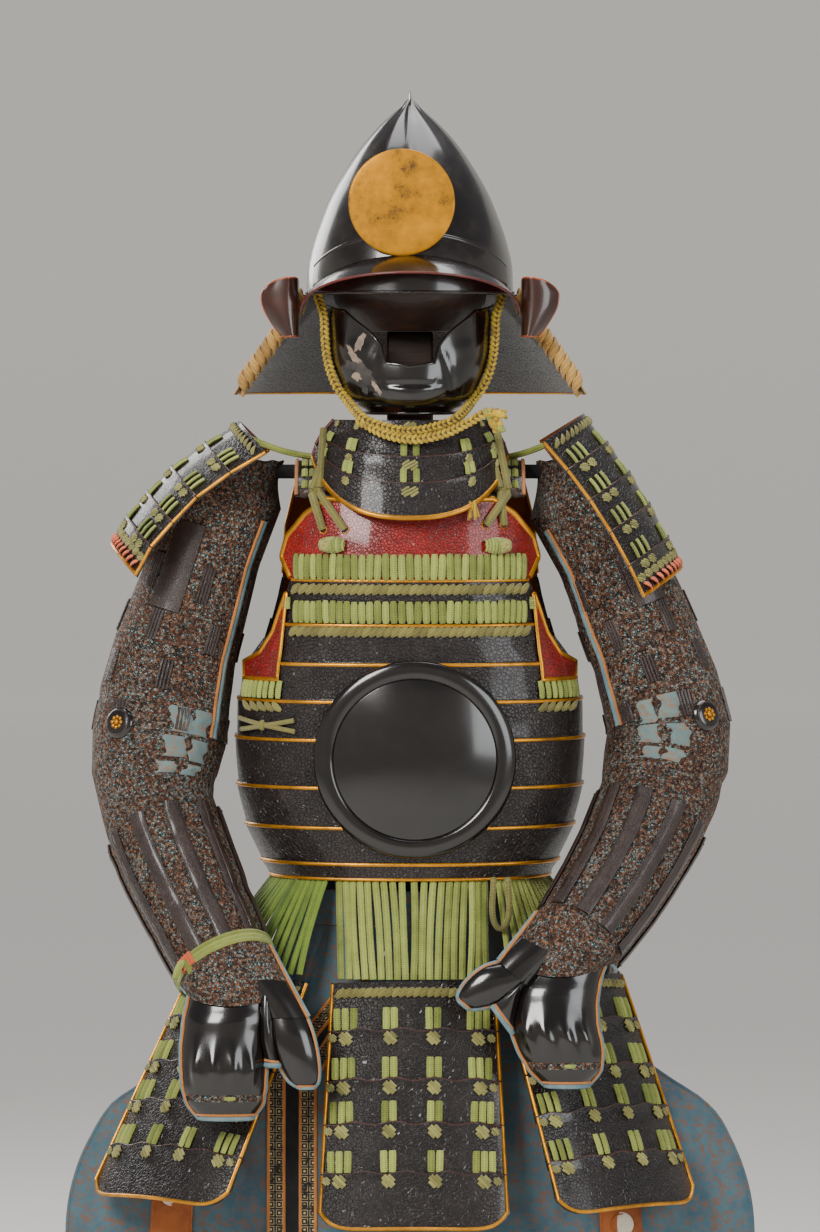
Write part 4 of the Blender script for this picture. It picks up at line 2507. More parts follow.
@dataclass(frozen=True)
class Shoulders:
    """Shoulder guards, shoulder straps, guard cords and toggles."""

    half: float = GUARD_HALF
    lame: float = 2.0
    step: float = 2.6
    wave: float = 1.2
    strap_centre: float = 101.0
    strap_width: float = 44.0
    strap_thick: float = 5.0
    strap_route: tuple = (
        (-70, 1122), (-60, 1134), (-42, 1147), (-17, 1156.3),
        (17, 1156.3), (42, 1152), (62, 1143), (72, 1140.6),
    )

    def guard(self, name: str, table: Sequence[tuple], bulge: float, palette: Palette) -> None:
        """One shoulder guard of five lames, with a knot row at the bottom.

        Args:
            name: side.
            table: its front edge from the top down.
            bulge: bow at the middle.
            palette: finishes.
        """
        maker = Maker(f"shoulder guard {name} look")
        rng = random.Random(SEED + len(name))
        trim = Trim(maker, palette, rng)
        side = math.copysign(1, table[0][0])
        lengths = [0.0]
        for i in range(len(table) - 1):
            lengths.append(lengths[-1] + math.dist(table[i], table[i + 1]))
        keyed = [(lengths[i], table[i][0], table[i][1]) for i in range(len(table))]
        whole = Vector((table[-1][0] - table[0][0], 0, table[-1][1] - table[0][1])).normalized()
        away = Vector((-whole.z * side, 0, whole.x * side))

        def place(y: float, at: float, out: float) -> Vector:
            x, z = straight(keyed, at, 1), straight(keyed, at, 2)
            share = clamp(y / self.half, -1.1, 1.1)
            if at > lengths[-1]:
                x += (at - lengths[-1]) * whole.x
                z += (at - lengths[-1]) * whole.z
            if at < 0:
                x += at * whole.x
                z += at * whole.z
            return Vector((x, y, z)) + away * (bulge * (1 - share * share) + out)

        count = len(table) - 1
        for i in range(count):
            top = lengths[i]
            final = i == count - 1
            bottom = lengths[i + 1] + (0 if final else 3.0)
            phase = rng.uniform(0, 6)

            def shape(
                u: float, v: float, inside: float, top: float = top, bottom: float = bottom,
                final: bool = final, phase: float = phase, i: int = i,
            ) -> Vector:
                y = mix(-1, 1, u) * self.half
                at = mix(bottom, top, v)
                if i:
                    at += self.wave * math.sin(y * 0.55 + phase) * v**6
                out = mix(1.0 if final else 0.3, self.step + 0.2, v)
                lip = 0.8 * math.exp(-(((at - top) / 3.0) ** 2))
                return place(y, at, out + lip - inside)

            maker.leaf(
                64, 8, shape, 0, self.lame, palette.brown, palette.leather, tint=rng.uniform(0.2, 0.5)
            )
            for end in (-1, 1):
                stations = [
                    (end * (self.half - 1.2), mix(top + 1, bottom - (0 if final else 3), k / 8))
                    for k in range(9)
                ]
                trim.edge(place, stations, 1.6, 4.0, 4.2, palette.gilt)
            if i:
                stations = [(mix(-0.985, 0.985, k / 80) * self.half, top) for k in range(81)]
                trim.edge(place, stations, self.step + 0.2, 2.2, 2.2, palette.lame_edge)
                for centre, cords in ((-76, 3), (-26, 2), (26, 2), (76, 3)):
                    for k in range(cords):
                        y = centre + (k - (cords - 1) / 2) * 8.0
                        points, normals = route(place, (y, top - 19), (y, top - 0.6), 6, 2.0, 0.7)
                        trim.maker.strand(
                            points, normals, 7.9, 3.8, palette.lacing, trim.shade(), taper=0.14
                        )
                    for shift in (-5.6, 5.6):
                        trim.cross(place, centre + shift, top + 8, self.step + 0.4, 9, 4.0)
        length = lengths[-1]
        stations = [(mix(-0.99, 0.99, k / 80) * self.half, length - 1.4) for k in range(81)]
        trim.edge(place, stations, 1.2, 4.2, 4.2, palette.gilt)
        trim.braid(
            place, (-self.half * 0.95, length - 8.5), (self.half * 0.95, length - 8.5), 11, 2.0, 9.0,
            0.5, palette.orange_cord,
        )
        knots = 20
        for k in range(knots):
            y = mix(-0.93, 0.93, k / (knots - 1)) * self.half
            trim.cross(place, y, length - 19, 1.8, 8.4, 4.2)
        trim.braid(place, (-self.half * 0.94, 9), (self.half * 0.94, 9), 9, self.step, 7.4, -0.9)
        maker.finish([f"shoulder_guard_{name}"], "brown_lacquer")

    def strap(self, side: int, palette: Palette) -> None:
        """One shoulder strap of laced plates over padding."""
        name = "left" if side < 0 else "right"
        maker = Maker(f"shoulder strap {name} look")
        trim = Trim(maker, palette, random.Random(SEED + 20 + side))
        route_points = [Vector((0, y, z)) for y, z in self.strap_route]
        keyed = [(i, p.y, p.z) for i, p in enumerate(route_points)]
        last = len(keyed) - 1

        def place(x: float, t: float, out: float) -> Vector:
            at = clamp(t) * last
            y, z = smooth(keyed, at, 1), smooth(keyed, at, 2)
            before = (smooth(keyed, max(0, at - 0.2), 1), smooth(keyed, max(0, at - 0.2), 2))
            after = (smooth(keyed, min(last, at + 0.2), 1), smooth(keyed, min(last, at + 0.2), 2))
            along_ = Vector((0, after[0] - before[0], after[1] - before[1])).normalized()
            up = Vector((0, -along_.z, along_.y))
            return Vector((side * self.strap_centre + x, y, z)) + up * out

        half = self.strap_width / 2
        maker.shell(
            12, 40,
            lambda u, v: place(mix(-half, half, u), v, self.strap_thick - 0.6 * abs(mix(-1, 1, u)) ** 4),
            lambda u, v: place(mix(-half, half, u), v, 0),
            palette.brown, palette.leather,
        )
        for x in (-half + 1, half - 1):
            trim.edge(
                place, [(x, k / 40) for k in range(41)], self.strap_thick - 0.6, 4.0, 3.6, palette.piping
            )
        for k in range(7):
            for x in (-12, -4, 4, 12):
                trim.cord(
                    place, (x, 0.08 + k * 0.125), (x, 0.16 + k * 0.125), self.strap_thick - 0.2, 7.0,
                    3.4, 1.4,
                )
        maker.finish([f"strap_{name}"], "brown_lacquer")

    def toggle(self, side: int, palette: Palette) -> None:
        """Horn toggle with cord loops round it."""
        name = "left" if side < 0 else "right"
        maker = Maker(f"toggle {name} look")
        centre = Vector((side * self.strap_centre, -79.6, 1128.5))
        turn = math.radians(10) * side
        line = Vector((math.cos(turn), 0, -math.sin(turn)))
        points = [centre + line * mix(-17.2, 17.2, i / 18) for i in range(19)]
        normals = [Vector((0, -1, 0))] * 19
        maker.strand(points, normals, 12.0, 12.0, palette.horn, sides=14, taper=0.22)
        for shift in (-4.2, 0.0, 4.2):
            ring = []
            out = []
            for k in range(20):
                a = 2 * math.pi * k / 20
                spoke = Vector((0, math.cos(a), math.sin(a)))
                ring.append(centre + line * shift + spoke * 6.6)
                out.append(spoke)
            maker.strand(ring, out, 5.2, 2.6, palette.rope, 0.5 + shift / 20, closed=True)
        rope = palette.rope
        feet = ((-92, 1088), (-69, 1088)) if side < 0 else ((80, 1093), (99, 1093))
        for number, (x, z) in enumerate(feet):
            start = centre + line * mix(-4, 4, number) * side * -1 + Vector((0, -7, -2))
            end = front_point(x, z, 2.6)
            points = [
                start.lerp(end, i / 8) + Vector((0, -5.5 * math.sin(math.pi * i / 8), 0)) for i in range(9)
            ]
            maker.strand(
                points, [Vector((0, -1, 0.2)).normalized()] * 9, 8.6, 8.0, rope, 0.5, sides=12, taper=0.05
            )
        for number in (-1, 1):
            start = centre + line * (4.5 * number) + Vector((0, -6, 3))
            end = Vector((side * (88 + 5 * number), -52, 1190 + 5 * number))
            points = [
                start.lerp(end, i / 8) + Vector((0, -5 * math.sin(math.pi * i / 8), 0)) for i in range(9)
            ]
            maker.strand(
                points, [Vector((0, -1, 0.2)).normalized()] * 9, 8.0, 7.4, rope, 0.4, sides=12, taper=0.05
            )
        maker.finish([f"toggle_{name}"], "horn")

    def tie(self, side: int, palette: Palette) -> None:
        """Cord from a strap to its shoulder guard, and a bow on the chest side."""
        name = "left" if side < 0 else "right"
        left = ((-94, -14, 1165.2), (-110, -15, 1165.4), (-140, -26, 1172), (-179.9, -40, 1187.2))
        right = ((94, -14, 1165.2), (110, -15, 1165.4), (140, -26, 1175), (178.8, -40, 1195.8))
        table = left if side < 0 else right
        keyed = [(i, *p) for i, p in enumerate(table)]
        steps = 24
        fine = [Vector(tuple(smooth(keyed, i / steps * 3, c) for c in (1, 2, 3))) for i in range(steps + 1)]
        maker = Maker(f"guard cord {name} look")
        maker.strand(
            fine, [Vector((0, -0.3, 1)).normalized()] * (steps + 1), 7.0, 7.0, palette.lacing, 0.55,
            sides=12,
        )
        obj = maker.finish([f"guard_cord_{name}"], "lacing")

    def build(self, palette: Palette) -> None:
        """Builds both shoulders."""
        self.guard("left", GUARD_LEFT, 44, palette)
        self.guard("right", GUARD_RIGHT, 54, palette)
        for side in (-1, 1):
            self.strap(side, palette)
            self.toggle(side, palette)
            self.tie(side, palette)


@dataclass(frozen=True)
class Arms:
    """Armoured sleeves: mail over cloth, splints, plates, patches, elbow discs, hand and thumb guards."""

    cloth: float = 2.2
    splint_from: float = 0.64
    splint_to: float = 0.955

    def sleeve(self, name: str, table: Sequence[tuple], palette: Palette) -> None:
        """One sleeve.

        Args:
            name: side.
            table: its rings.
            palette: finishes.
        """
        tube = Tube(table)
        side = -1 if name == "left" else 1
        rng = random.Random(SEED + 30 + side)
        creases = [
            (
                rng.uniform(0, 2 * math.pi), rng.uniform(0.1, 0.95), rng.uniform(0.5, 1.4),
                rng.uniform(0.012, 0.03), rng.uniform(0.8, 2.2),
            )
            for _ in range(26)
        ]
        creases += [(mix(3.6, 5.4, i / 4), 0.535 + 0.022 * i, 1.3, 0.010, 3.0) for i in range(5)]

        def surface(angle: float, t: float, out: float) -> Vector:
            dent = 0.0
            for centre, height, span, thick, deep in creases:
                gap = (angle - centre + math.pi) % (2 * math.pi) - math.pi
                if abs(gap) < span:
                    lean = height + gap * 0.02
                    dent += deep * math.cos(gap / span * math.pi / 2) * math.exp(
                        -(((t - lean) / thick) ** 2)
                    )
            return tube.place(angle, t, out - min(dent, 2.6) * 0.8)

        maker = Maker(f"sleeve {name} cloth")
        columns, rows = 100, 90
        maker.shell(
            columns, rows,
            lambda u, v: surface(2 * math.pi * u, v, 0.0),
            lambda u, v: surface(2 * math.pi * u, v, -1.8),
            palette.mail, palette.cloth, ring=True, size=(390.0, 620.0),
        )
        obj = maker.finish([f"sleeve_{name}"], "blue_cloth")
        length = sum((tube.centre(i / 40) - tube.centre((i + 1) / 40)).length for i in range(40)) * MM
        girth = sum(math.pi * (row[3] + row[4]) for row in table) / len(table) * MM
        LOG.info("sleeve %s cut %.0f x %.0f mm", name, girth * 1000, length * 1000)
        self.fittings(name, surface, palette)

    def fittings(self, name: str, surface: Place, palette: Palette) -> None:
        """Splints, plates, patches, bindings and ties on a sleeve."""
        maker = Maker(f"sleeve {name} fittings")
        side = -1 if name == "left" else 1
        rng = random.Random(SEED + 33 + side)
        trim = Trim(maker, palette, rng)
        step = 2 * math.pi / 20
        for c in range(0, 20, 2):
            angle = c * step
            stations = [(angle, mix(self.splint_from, self.splint_to, k / 26)) for k in range(27)]
            points, normals = along(surface, stations, 1.4)
            maker.strand(
                points, normals, 17.0, 4.6, palette.iron, rng.uniform(0.2, 0.5), sides=10, taper=0.03
            )
            ridge, ridge_normals = along(surface, stations[1:-1], 3.2)
            maker.strand(ridge, ridge_normals, 2.2, 1.8, palette.iron, 0.7, sides=6, taper=0.05)
            for k in (0.03, 0.97):
                t = mix(self.splint_from, self.splint_to, k)
                normal = normal_at(surface, angle, t, 2)
                maker.bead(surface(angle, t, 3.4), normal, Vector((0, 0, 1)), (3.4, 3.4, 2.2), palette.iron)
        plate_angle = -1.16 if side < 0 else -1.98

        def plate(u: float, v: float, out: float) -> Vector:
            bow = 1 - 0.3 * abs(mix(-1, 1, u)) ** 3
            return surface(plate_angle + 0.28 * mix(-1, 1, u), mix(0.05, 0.185, v), out * bow)

        maker.leaf(16, 16, plate, 3.0, 0.6, palette.iron)
        for row, t in enumerate((0.13, 0.215, 0.30, 0.39)):
            for k in range(6):
                angle = (k + 0.5 * (row % 2)) * math.pi / 3 + 0.35 + 0.12 * row
                self.slats(maker, surface, angle, t, palette, rng)
        inner = math.pi if side < 0 else 0.0
        seam = inner - side * 0.60
        stations = [(seam, mix(0.02, 0.42, k / 30)) for k in range(31)]
        trim.edge(surface, stations, 0.8, 7.0, 4.0, palette.blue_piping)
        stations = [(seam - side * 0.085, mix(0.02, 0.42, k / 30)) for k in range(31)]
        trim.edge(surface, stations, 0.8, 3.2, 3.2, palette.piping)
        self.patches(maker, surface, side, palette)
        if side < 0:
            self.wrist(trim, surface, palette)
        self.yoke(maker, surface, side, palette)
        maker.finish((), "")

    def slats(
        self, maker: Maker, surface: Place, angle: float, t: float, palette: Palette,
        rng: random.Random,
    ) -> None:
        """Small plate of four upright ribs."""
        radius = 64.0
        for k in range(4):
            a = angle + (k - 1.5) * 3.5 / radius
            stations = [(a, t + mix(-0.028, 0.028, i / 6)) for i in range(7)]
            points, normals = along(surface, stations, 0.9)
            maker.strand(
                points, normals, 3.6, 2.6, palette.iron, rng.uniform(0.2, 0.7), sides=6, taper=0.12
            )

    def yoke(self, maker: Maker, surface: Place, side: int, palette: Palette) -> None:
        """Top of the sleeve, drawn in under the shoulder guard."""

        def place(u: float, v: float) -> Vector:
            angle = 2 * math.pi * u
            low = surface(angle, 0.0, 0.4)
            high = Vector((side * 160 - 24 * math.cos(angle), 30 * math.sin(angle), 1160))
            bend = 5 * math.sin(math.pi * v)
            crease = 0.7 * math.sin(angle * 9 + v * 2) * v
            return low.lerp(high, v) + Vector((side * bend, 0, bend + crease))

        maker.weld(maker.grid(80, 10, place, palette.mail, size=(390.0, 60.0)), 0.02)

    def patches(self, maker: Maker, surface: Place, side: int, palette: Palette) -> None:
        """Pale cloth patches inside the elbow."""
        middle = -2.02 if side < 0 else -1.42
        rng = random.Random(SEED + 90 + side)
        for row in range(3):
            for column in range(2):
                a0 = middle + (column - 1) * 0.40 + rng.uniform(-0.04, 0.04)
                t0 = 0.362 + row * 0.074 + rng.uniform(-0.004, 0.004)
                shear = rng.uniform(-0.10, 0.10)
                wide = 0.33 * rng.uniform(0.8, 1.05)
                tall = 0.064 * (1.0 if row < 2 else 0.55) * rng.uniform(0.85, 1.05)

                def place(u: float, v: float, a0: float = a0, t0: float = t0) -> Vector:
                    edge = 0.12 * math.sin(v * 6 + a0 * 9) + 0.05 * math.sin(v * 13)
                    pad = 1.5 * (1 - abs(mix(-1, 1, u)) ** 5) * (1 - abs(mix(-1, 1, v)) ** 5)
                    pad += 0.5 * math.sin(u * 9 + v * 7 + a0 * 3) * (1 - abs(mix(-1, 1, v)))
                    return surface(a0 + wide * (u + edge) + shear * v, t0 + tall * v, 0.1 + pad)

                maker.grid(14, 14, place, palette.lining, 0.5)

    def wrist(self, trim: Trim, surface: Place, palette: Palette) -> None:
        """Three turns of green cord at the wrist, with a bow and hanging loops."""
        for k in range(3):
            t = 0.957 + k * 0.0105
            stations = [(2 * math.pi * i / 60, t) for i in range(60)]
            trim.edge(surface, stations, 2.8, 6.0, 4.6, palette.lacing, closed=True)
        front = -math.pi / 2 + 0.62
        for k in range(5):
            stations = [(front + mix(-0.03, 0.03, k / 4) * 5, 0.951 + 0.0065 * i) for i in range(6)]
            trim.edge(surface, stations, 5.4, 4.6, 4.0, palette.orange_cord)
        for lean in (-1, 1):
            start = surface(front, 0.968, 8.0)
            points = []
            for k in range(15):
                turn = math.pi * 2 * k / 14
                swing = math.sin(turn / 2)
                drop = -17 * swing**2 + 5 * math.sin(turn) * 0.5
                points.append(start + Vector((lean * 9 * swing * 1.1, -3.5 * swing, drop)))
            trim.maker.strand(
                points, [Vector((0, -1, 0))] * 15, 5.4, 4.0, palette.lacing, trim.shade(), taper=0.03
            )

    def disc(self, name: str, table: Sequence[tuple], column: int, palette: Palette) -> None:
        """Elbow disc with a small plain gilt boss."""
        row = table[5]
        before, after = Vector(table[4][:3]), Vector(table[6][:3])
        line = (after - before).normalized()
        wide = Vector((0, 1, 0)).cross(line).normalized()
        deep = line.cross(wide).normalized()
        angle = 2 * math.pi * column / 20
        outward = (wide * (math.cos(angle) / row[3]) + deep * (math.sin(angle) / row[4])).normalized()
        centre = Vector(row[:3]) + wide * (row[3] * math.cos(angle))
        centre += deep * (row[4] * math.sin(angle)) + outward * 0.5
        maker = Maker(f"elbow disc {name} look")
        first = outward.orthogonal().normalized()
        second = outward.cross(first)
        profile = ((0.0, 5.4), (8.0, 5.2), (12.6, 4.6), (15.4, 3.4), (17.0, 0.4))

        def place(u: float, v: float) -> Vector:
            r, out = profile[round(v * 4)]
            turn = 2 * math.pi * u
            return centre + first * (r * math.cos(turn)) + second * (r * math.sin(turn)) + outward * out

        maker.weld(maker.grid(48, 4, place, palette.black), 0.02)
        maker.ring(centre + outward * 3.6, outward, 13.4, 2.4, palette.iron, 40)
        for k in range(8):
            turn = 2 * math.pi * k / 8
            spot = centre + first * (5.6 * math.cos(turn)) + second * (5.6 * math.sin(turn)) + outward * 5.4
            maker.bead(spot, outward, first, (4.4, 4.4, 2.8), palette.gilt)
        maker.bead(centre + outward * 5.6, outward, first, (6.4, 6.4, 4.6), palette.gilt, detail=12)
        maker.finish([f"elbow_disc_{name}"], "gilt")

    def hand_place(self, rows: Sequence[tuple], turn: float, knuckles: bool) -> Place:
        """Surface of a hand guard or a thumb plate.

        Args:
            rows: its sections.
            turn: turn about the line front to back.
            knuckles: raise the knuckles.

        Returns:
            The surface, from shares across and down.
        """
        keyed = [(i, *row) for i, row in enumerate(rows)]
        last = len(rows) - 1
        spin = Matrix.Rotation(turn, 3, "Y")
        span = math.radians(78)
        bump_row = next((i for i, row in enumerate(rows) if len(row) > 5 and row[5]), 0)

        def place(u: float, v: float, out: float) -> Vector:
            at = clamp(v) * last
            x, y, z, half, deep = (smooth(keyed, at, c) for c in (1, 2, 3, 4, 5))
            angle = mix(-1, 1, u) * span
            raised = 0.0
            if knuckles:
                for k in range(4):
                    gap = (angle - (k - 1.5) * 0.43) / 0.16
                    raised += 5.2 * math.exp(-(gap**2)) * math.exp(-(((at - bump_row + 0.35) / 0.58) ** 2))
                raised += 1.6 * math.exp(-(((at - 1.1) / 0.25) ** 2))
                raised -= 1.2 * math.exp(-(((at - bump_row - 0.75) / 0.22) ** 2))
            local = Vector(
                ((half + out + raised) * math.sin(angle), -(deep + out + raised) * math.cos(angle), 0)
            )
            return spin @ local + Vector((x, y, z))

        return place

    def hand(
        self, node: str, place: Place, palette: Palette, knuckles: bool, bound: Sequence[tuple],
    ) -> None:
        """Gloss plate over the hand or the thumb, bound at its edge.

        Args:
            node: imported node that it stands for.
            place: its surface.
            palette: finishes.
            knuckles: it has a stitch under the knuckles.
            bound: stations of the bound edge.
        """
        maker = Maker(f"{node} look")
        maker.leaf(56, 40, place, 0.0, -2.0, palette.black, palette.leather)
        trim = Trim(maker, palette, random.Random(SEED + len(node)))
        trim.edge(place, bound, -1.0, 6.4, 6.4, palette.blue_piping)
        inner = [(mix(0.5, u, 0.92), mix(0.45, v, 0.93)) for u, v in bound]
        trim.edge(place, inner, 0.2, 3.0, 3.0, palette.piping)
        if knuckles:
            maker.grid(
                40, 6,
                lambda u, v: place(
                    mix(0.07, 0.93, u), mix(0.735, 0.80, v), 0.9 * math.sin(math.pi * v) + 0.1
                ),
                palette.mail, size=(95.0, 9.0),
            )
            points, normals = route(place, (0.50, 0.765), (0.60, 0.765), 5, 1.4, 1.6)
            maker.strand(points, normals, 4.4, 3.0, palette.lacing, 0.5, taper=0.3)
        maker.finish([node], "black_lacquer")

    def web(self, name: str, hand: Place, thumb: Place, tube: Tube, side: int, palette: Palette) -> None:
        """Pieces that join a hand guard to the thumb plate and to the cuff.

        Args:
            name: side.
            hand: the hand guard's surface.
            thumb: the thumb plate's surface.
            tube: the sleeve.
            side: -1 left, 1 right.
            palette: finishes.
        """
        maker = Maker(f"hand {name} joins")
        top_share = 0.74 if side < 0 else 0.26
        hand_edge = 0.95 if side < 0 else 0.05
        thumb_edge = 0.08 if side < 0 else 0.92
        stop = 0.48

        def fill(u: float, v: float, out: float) -> Vector:
            near = hand(mix(top_share, hand_edge, v**1.5), 0.02 + stop * v, 0.4)
            far = thumb(mix(1 - top_share, thumb_edge, v**1.5), mix(0.0, 0.55, v), 0.4)
            return near.lerp(far, u) + Vector((0, -5 * math.sin(math.pi * u) - out, 0))

        maker.leaf(16, 16, fill, 1.6, 0.0, palette.black)
        lower = [fill(i / 12, 1.0, 0.8) for i in range(13)]
        maker.strand(lower, [Vector((0, -1, 0))] * 13, 6.4, 6.4, palette.blue_piping, 0.5)
        inside = [fill(i / 12, 0.93, 1.8) for i in range(13)]
        maker.strand(inside, [Vector((0, -1, 0))] * 13, 3.0, 3.0, palette.piping, 0.5)
        start, end = -0.10, -math.pi + 0.10

        def cap(u: float, v: float, out: float) -> Vector:
            cuff = tube.place(mix(start, end, u), 0.972, 1.0 + out)
            top = hand(u, 0.08 + 0.06 * math.sin(math.pi * u), 1.0 + out)
            bend = math.sin(math.pi * v)
            away = Vector((0, -0.9, 0.35)) * (7 * bend)
            return cuff.lerp(top, v) + away

        maker.leaf(48, 20, cap, 1.4, -0.2, palette.mail, palette.cloth, size=(150.0, 60.0))
        outer = 1.0 if side < 0 else 0.0
        points = [cap(1 - outer, i / 14, 0.6) for i in range(15)]
        normals = [Vector((side, -0.4, 0)).normalized()] * 15
        maker.strand(points, normals, 5.2, 5.2, palette.blue_piping, 0.5)

        def root(u: float, v: float, out: float) -> Vector:
            share = mix(0.66, 1.0, u) if side < 0 else mix(0.0, 0.34, u)
            cuff = tube.place(mix(start, end, share), 0.984, 2.4 + out)
            top = thumb(u, 0.06, 0.8 + out)
            return cuff.lerp(top, v) + Vector((0, -6 * math.sin(math.pi * v), 0))

        for first, finish in ((0.0, palette.mail), (0.5, palette.black)):
            maker.shell(
                24, 8,
                lambda u, v, first=first: root(u, first + v / 2, 1.0),
                lambda u, v, first=first: root(u, first + v / 2, -0.4),
                finish, size=(60.0, 30.0),
            )
        for inward, out, wide, finish in (
            (0.0, 0.4, 6.2, palette.blue_piping), (0.09, 1.4, 3.0, palette.piping)
        ):
            line = [root(abs(outer - inward), i / 14, out) for i in range(15)]
            maker.strand(line, [Vector((-side, -0.8, 0)).normalized()] * 15, wide, wide, finish, 0.5)
        maker.finish()

    def build(self, palette: Palette) -> None:
        """Builds both arms."""
        self.sleeve("left", SLEEVE_LEFT, palette)
        self.sleeve("right", SLEEVE_RIGHT, palette)
        self.disc("left", SLEEVE_LEFT, 17, palette)
        self.disc("right", SLEEVE_RIGHT, 13, palette)
        hand_left = (
            (-186, -162.6, 611.4, 48, 36, 0), (-192, -176, 576, 47, 36, 0), (-197, -187, 540, 47, 34, 0),
            (-197, -193, 510, 46, 30, 1), (-196, -196, 486, 43, 25, 0), (-195, -196, 468, 30, 18, 0),
        )
        hand_right = (
            (170.6, -157.2, 645, 46.6, 34.8, 0), (154, -172, 606, 47, 35, 0), (152, -184, 572, 48, 34, 0),
            (158, -190, 544, 47, 30, 1), (164, -193, 520, 40, 25, 0), (166, -193, 502, 24, 18, 0),
        )
        thumb_left = (
            (-133, -187, 580, 22, 15), (-126, -193, 554, 25, 16), (-119, -195, 528, 23, 15),
            (-113, -195, 508, 17, 12), (-110, -194, 500, 9, 8),
        )
        thumb_right = (
            (115, -192.6, 622, 20, 14), (94, -196, 613, 23, 15), (76, -197, 601, 21, 14),
            (62, -197, 592, 14, 11), (57, -196, 588, 8, 7),
        )
        bounds = {}
        for node, near, far in (("hand_guard", 0.0, 0.50), ("thumb_plate", 0.55, 0.0)):
            for name, flip in (("left", False), ("right", True)):
                ends = (near, far) if not flip else (far, near)
                line = [(0.0, mix(ends[0], 1.0, k / 16)) for k in range(17)]
                line += [(k / 20, 1.0) for k in range(1, 20)]
                line += [(1.0, mix(1.0, ends[1], k / 16)) for k in range(17)]
                bounds[f"{node}_{name}"] = line
        surfaces = {
            "hand_guard_left": self.hand_place(hand_left, 0.0, True),
            "hand_guard_right": self.hand_place(hand_right, 0.0, True),
            "thumb_plate_left": self.hand_place(thumb_left, 0.0, False),
            "thumb_plate_right": self.hand_place(thumb_right, math.radians(40), False),
        }
        for node, place in surfaces.items():
            self.hand(node, place, palette, node.startswith("hand"), bounds[node])
        for side, name, table in ((-1, "left", SLEEVE_LEFT), (1, "right", SLEEVE_RIGHT)):
            hand, thumb = surfaces[f"hand_guard_{name}"], surfaces[f"thumb_plate_{name}"]
            self.web(name, hand, thumb, Tube(table), side, palette)


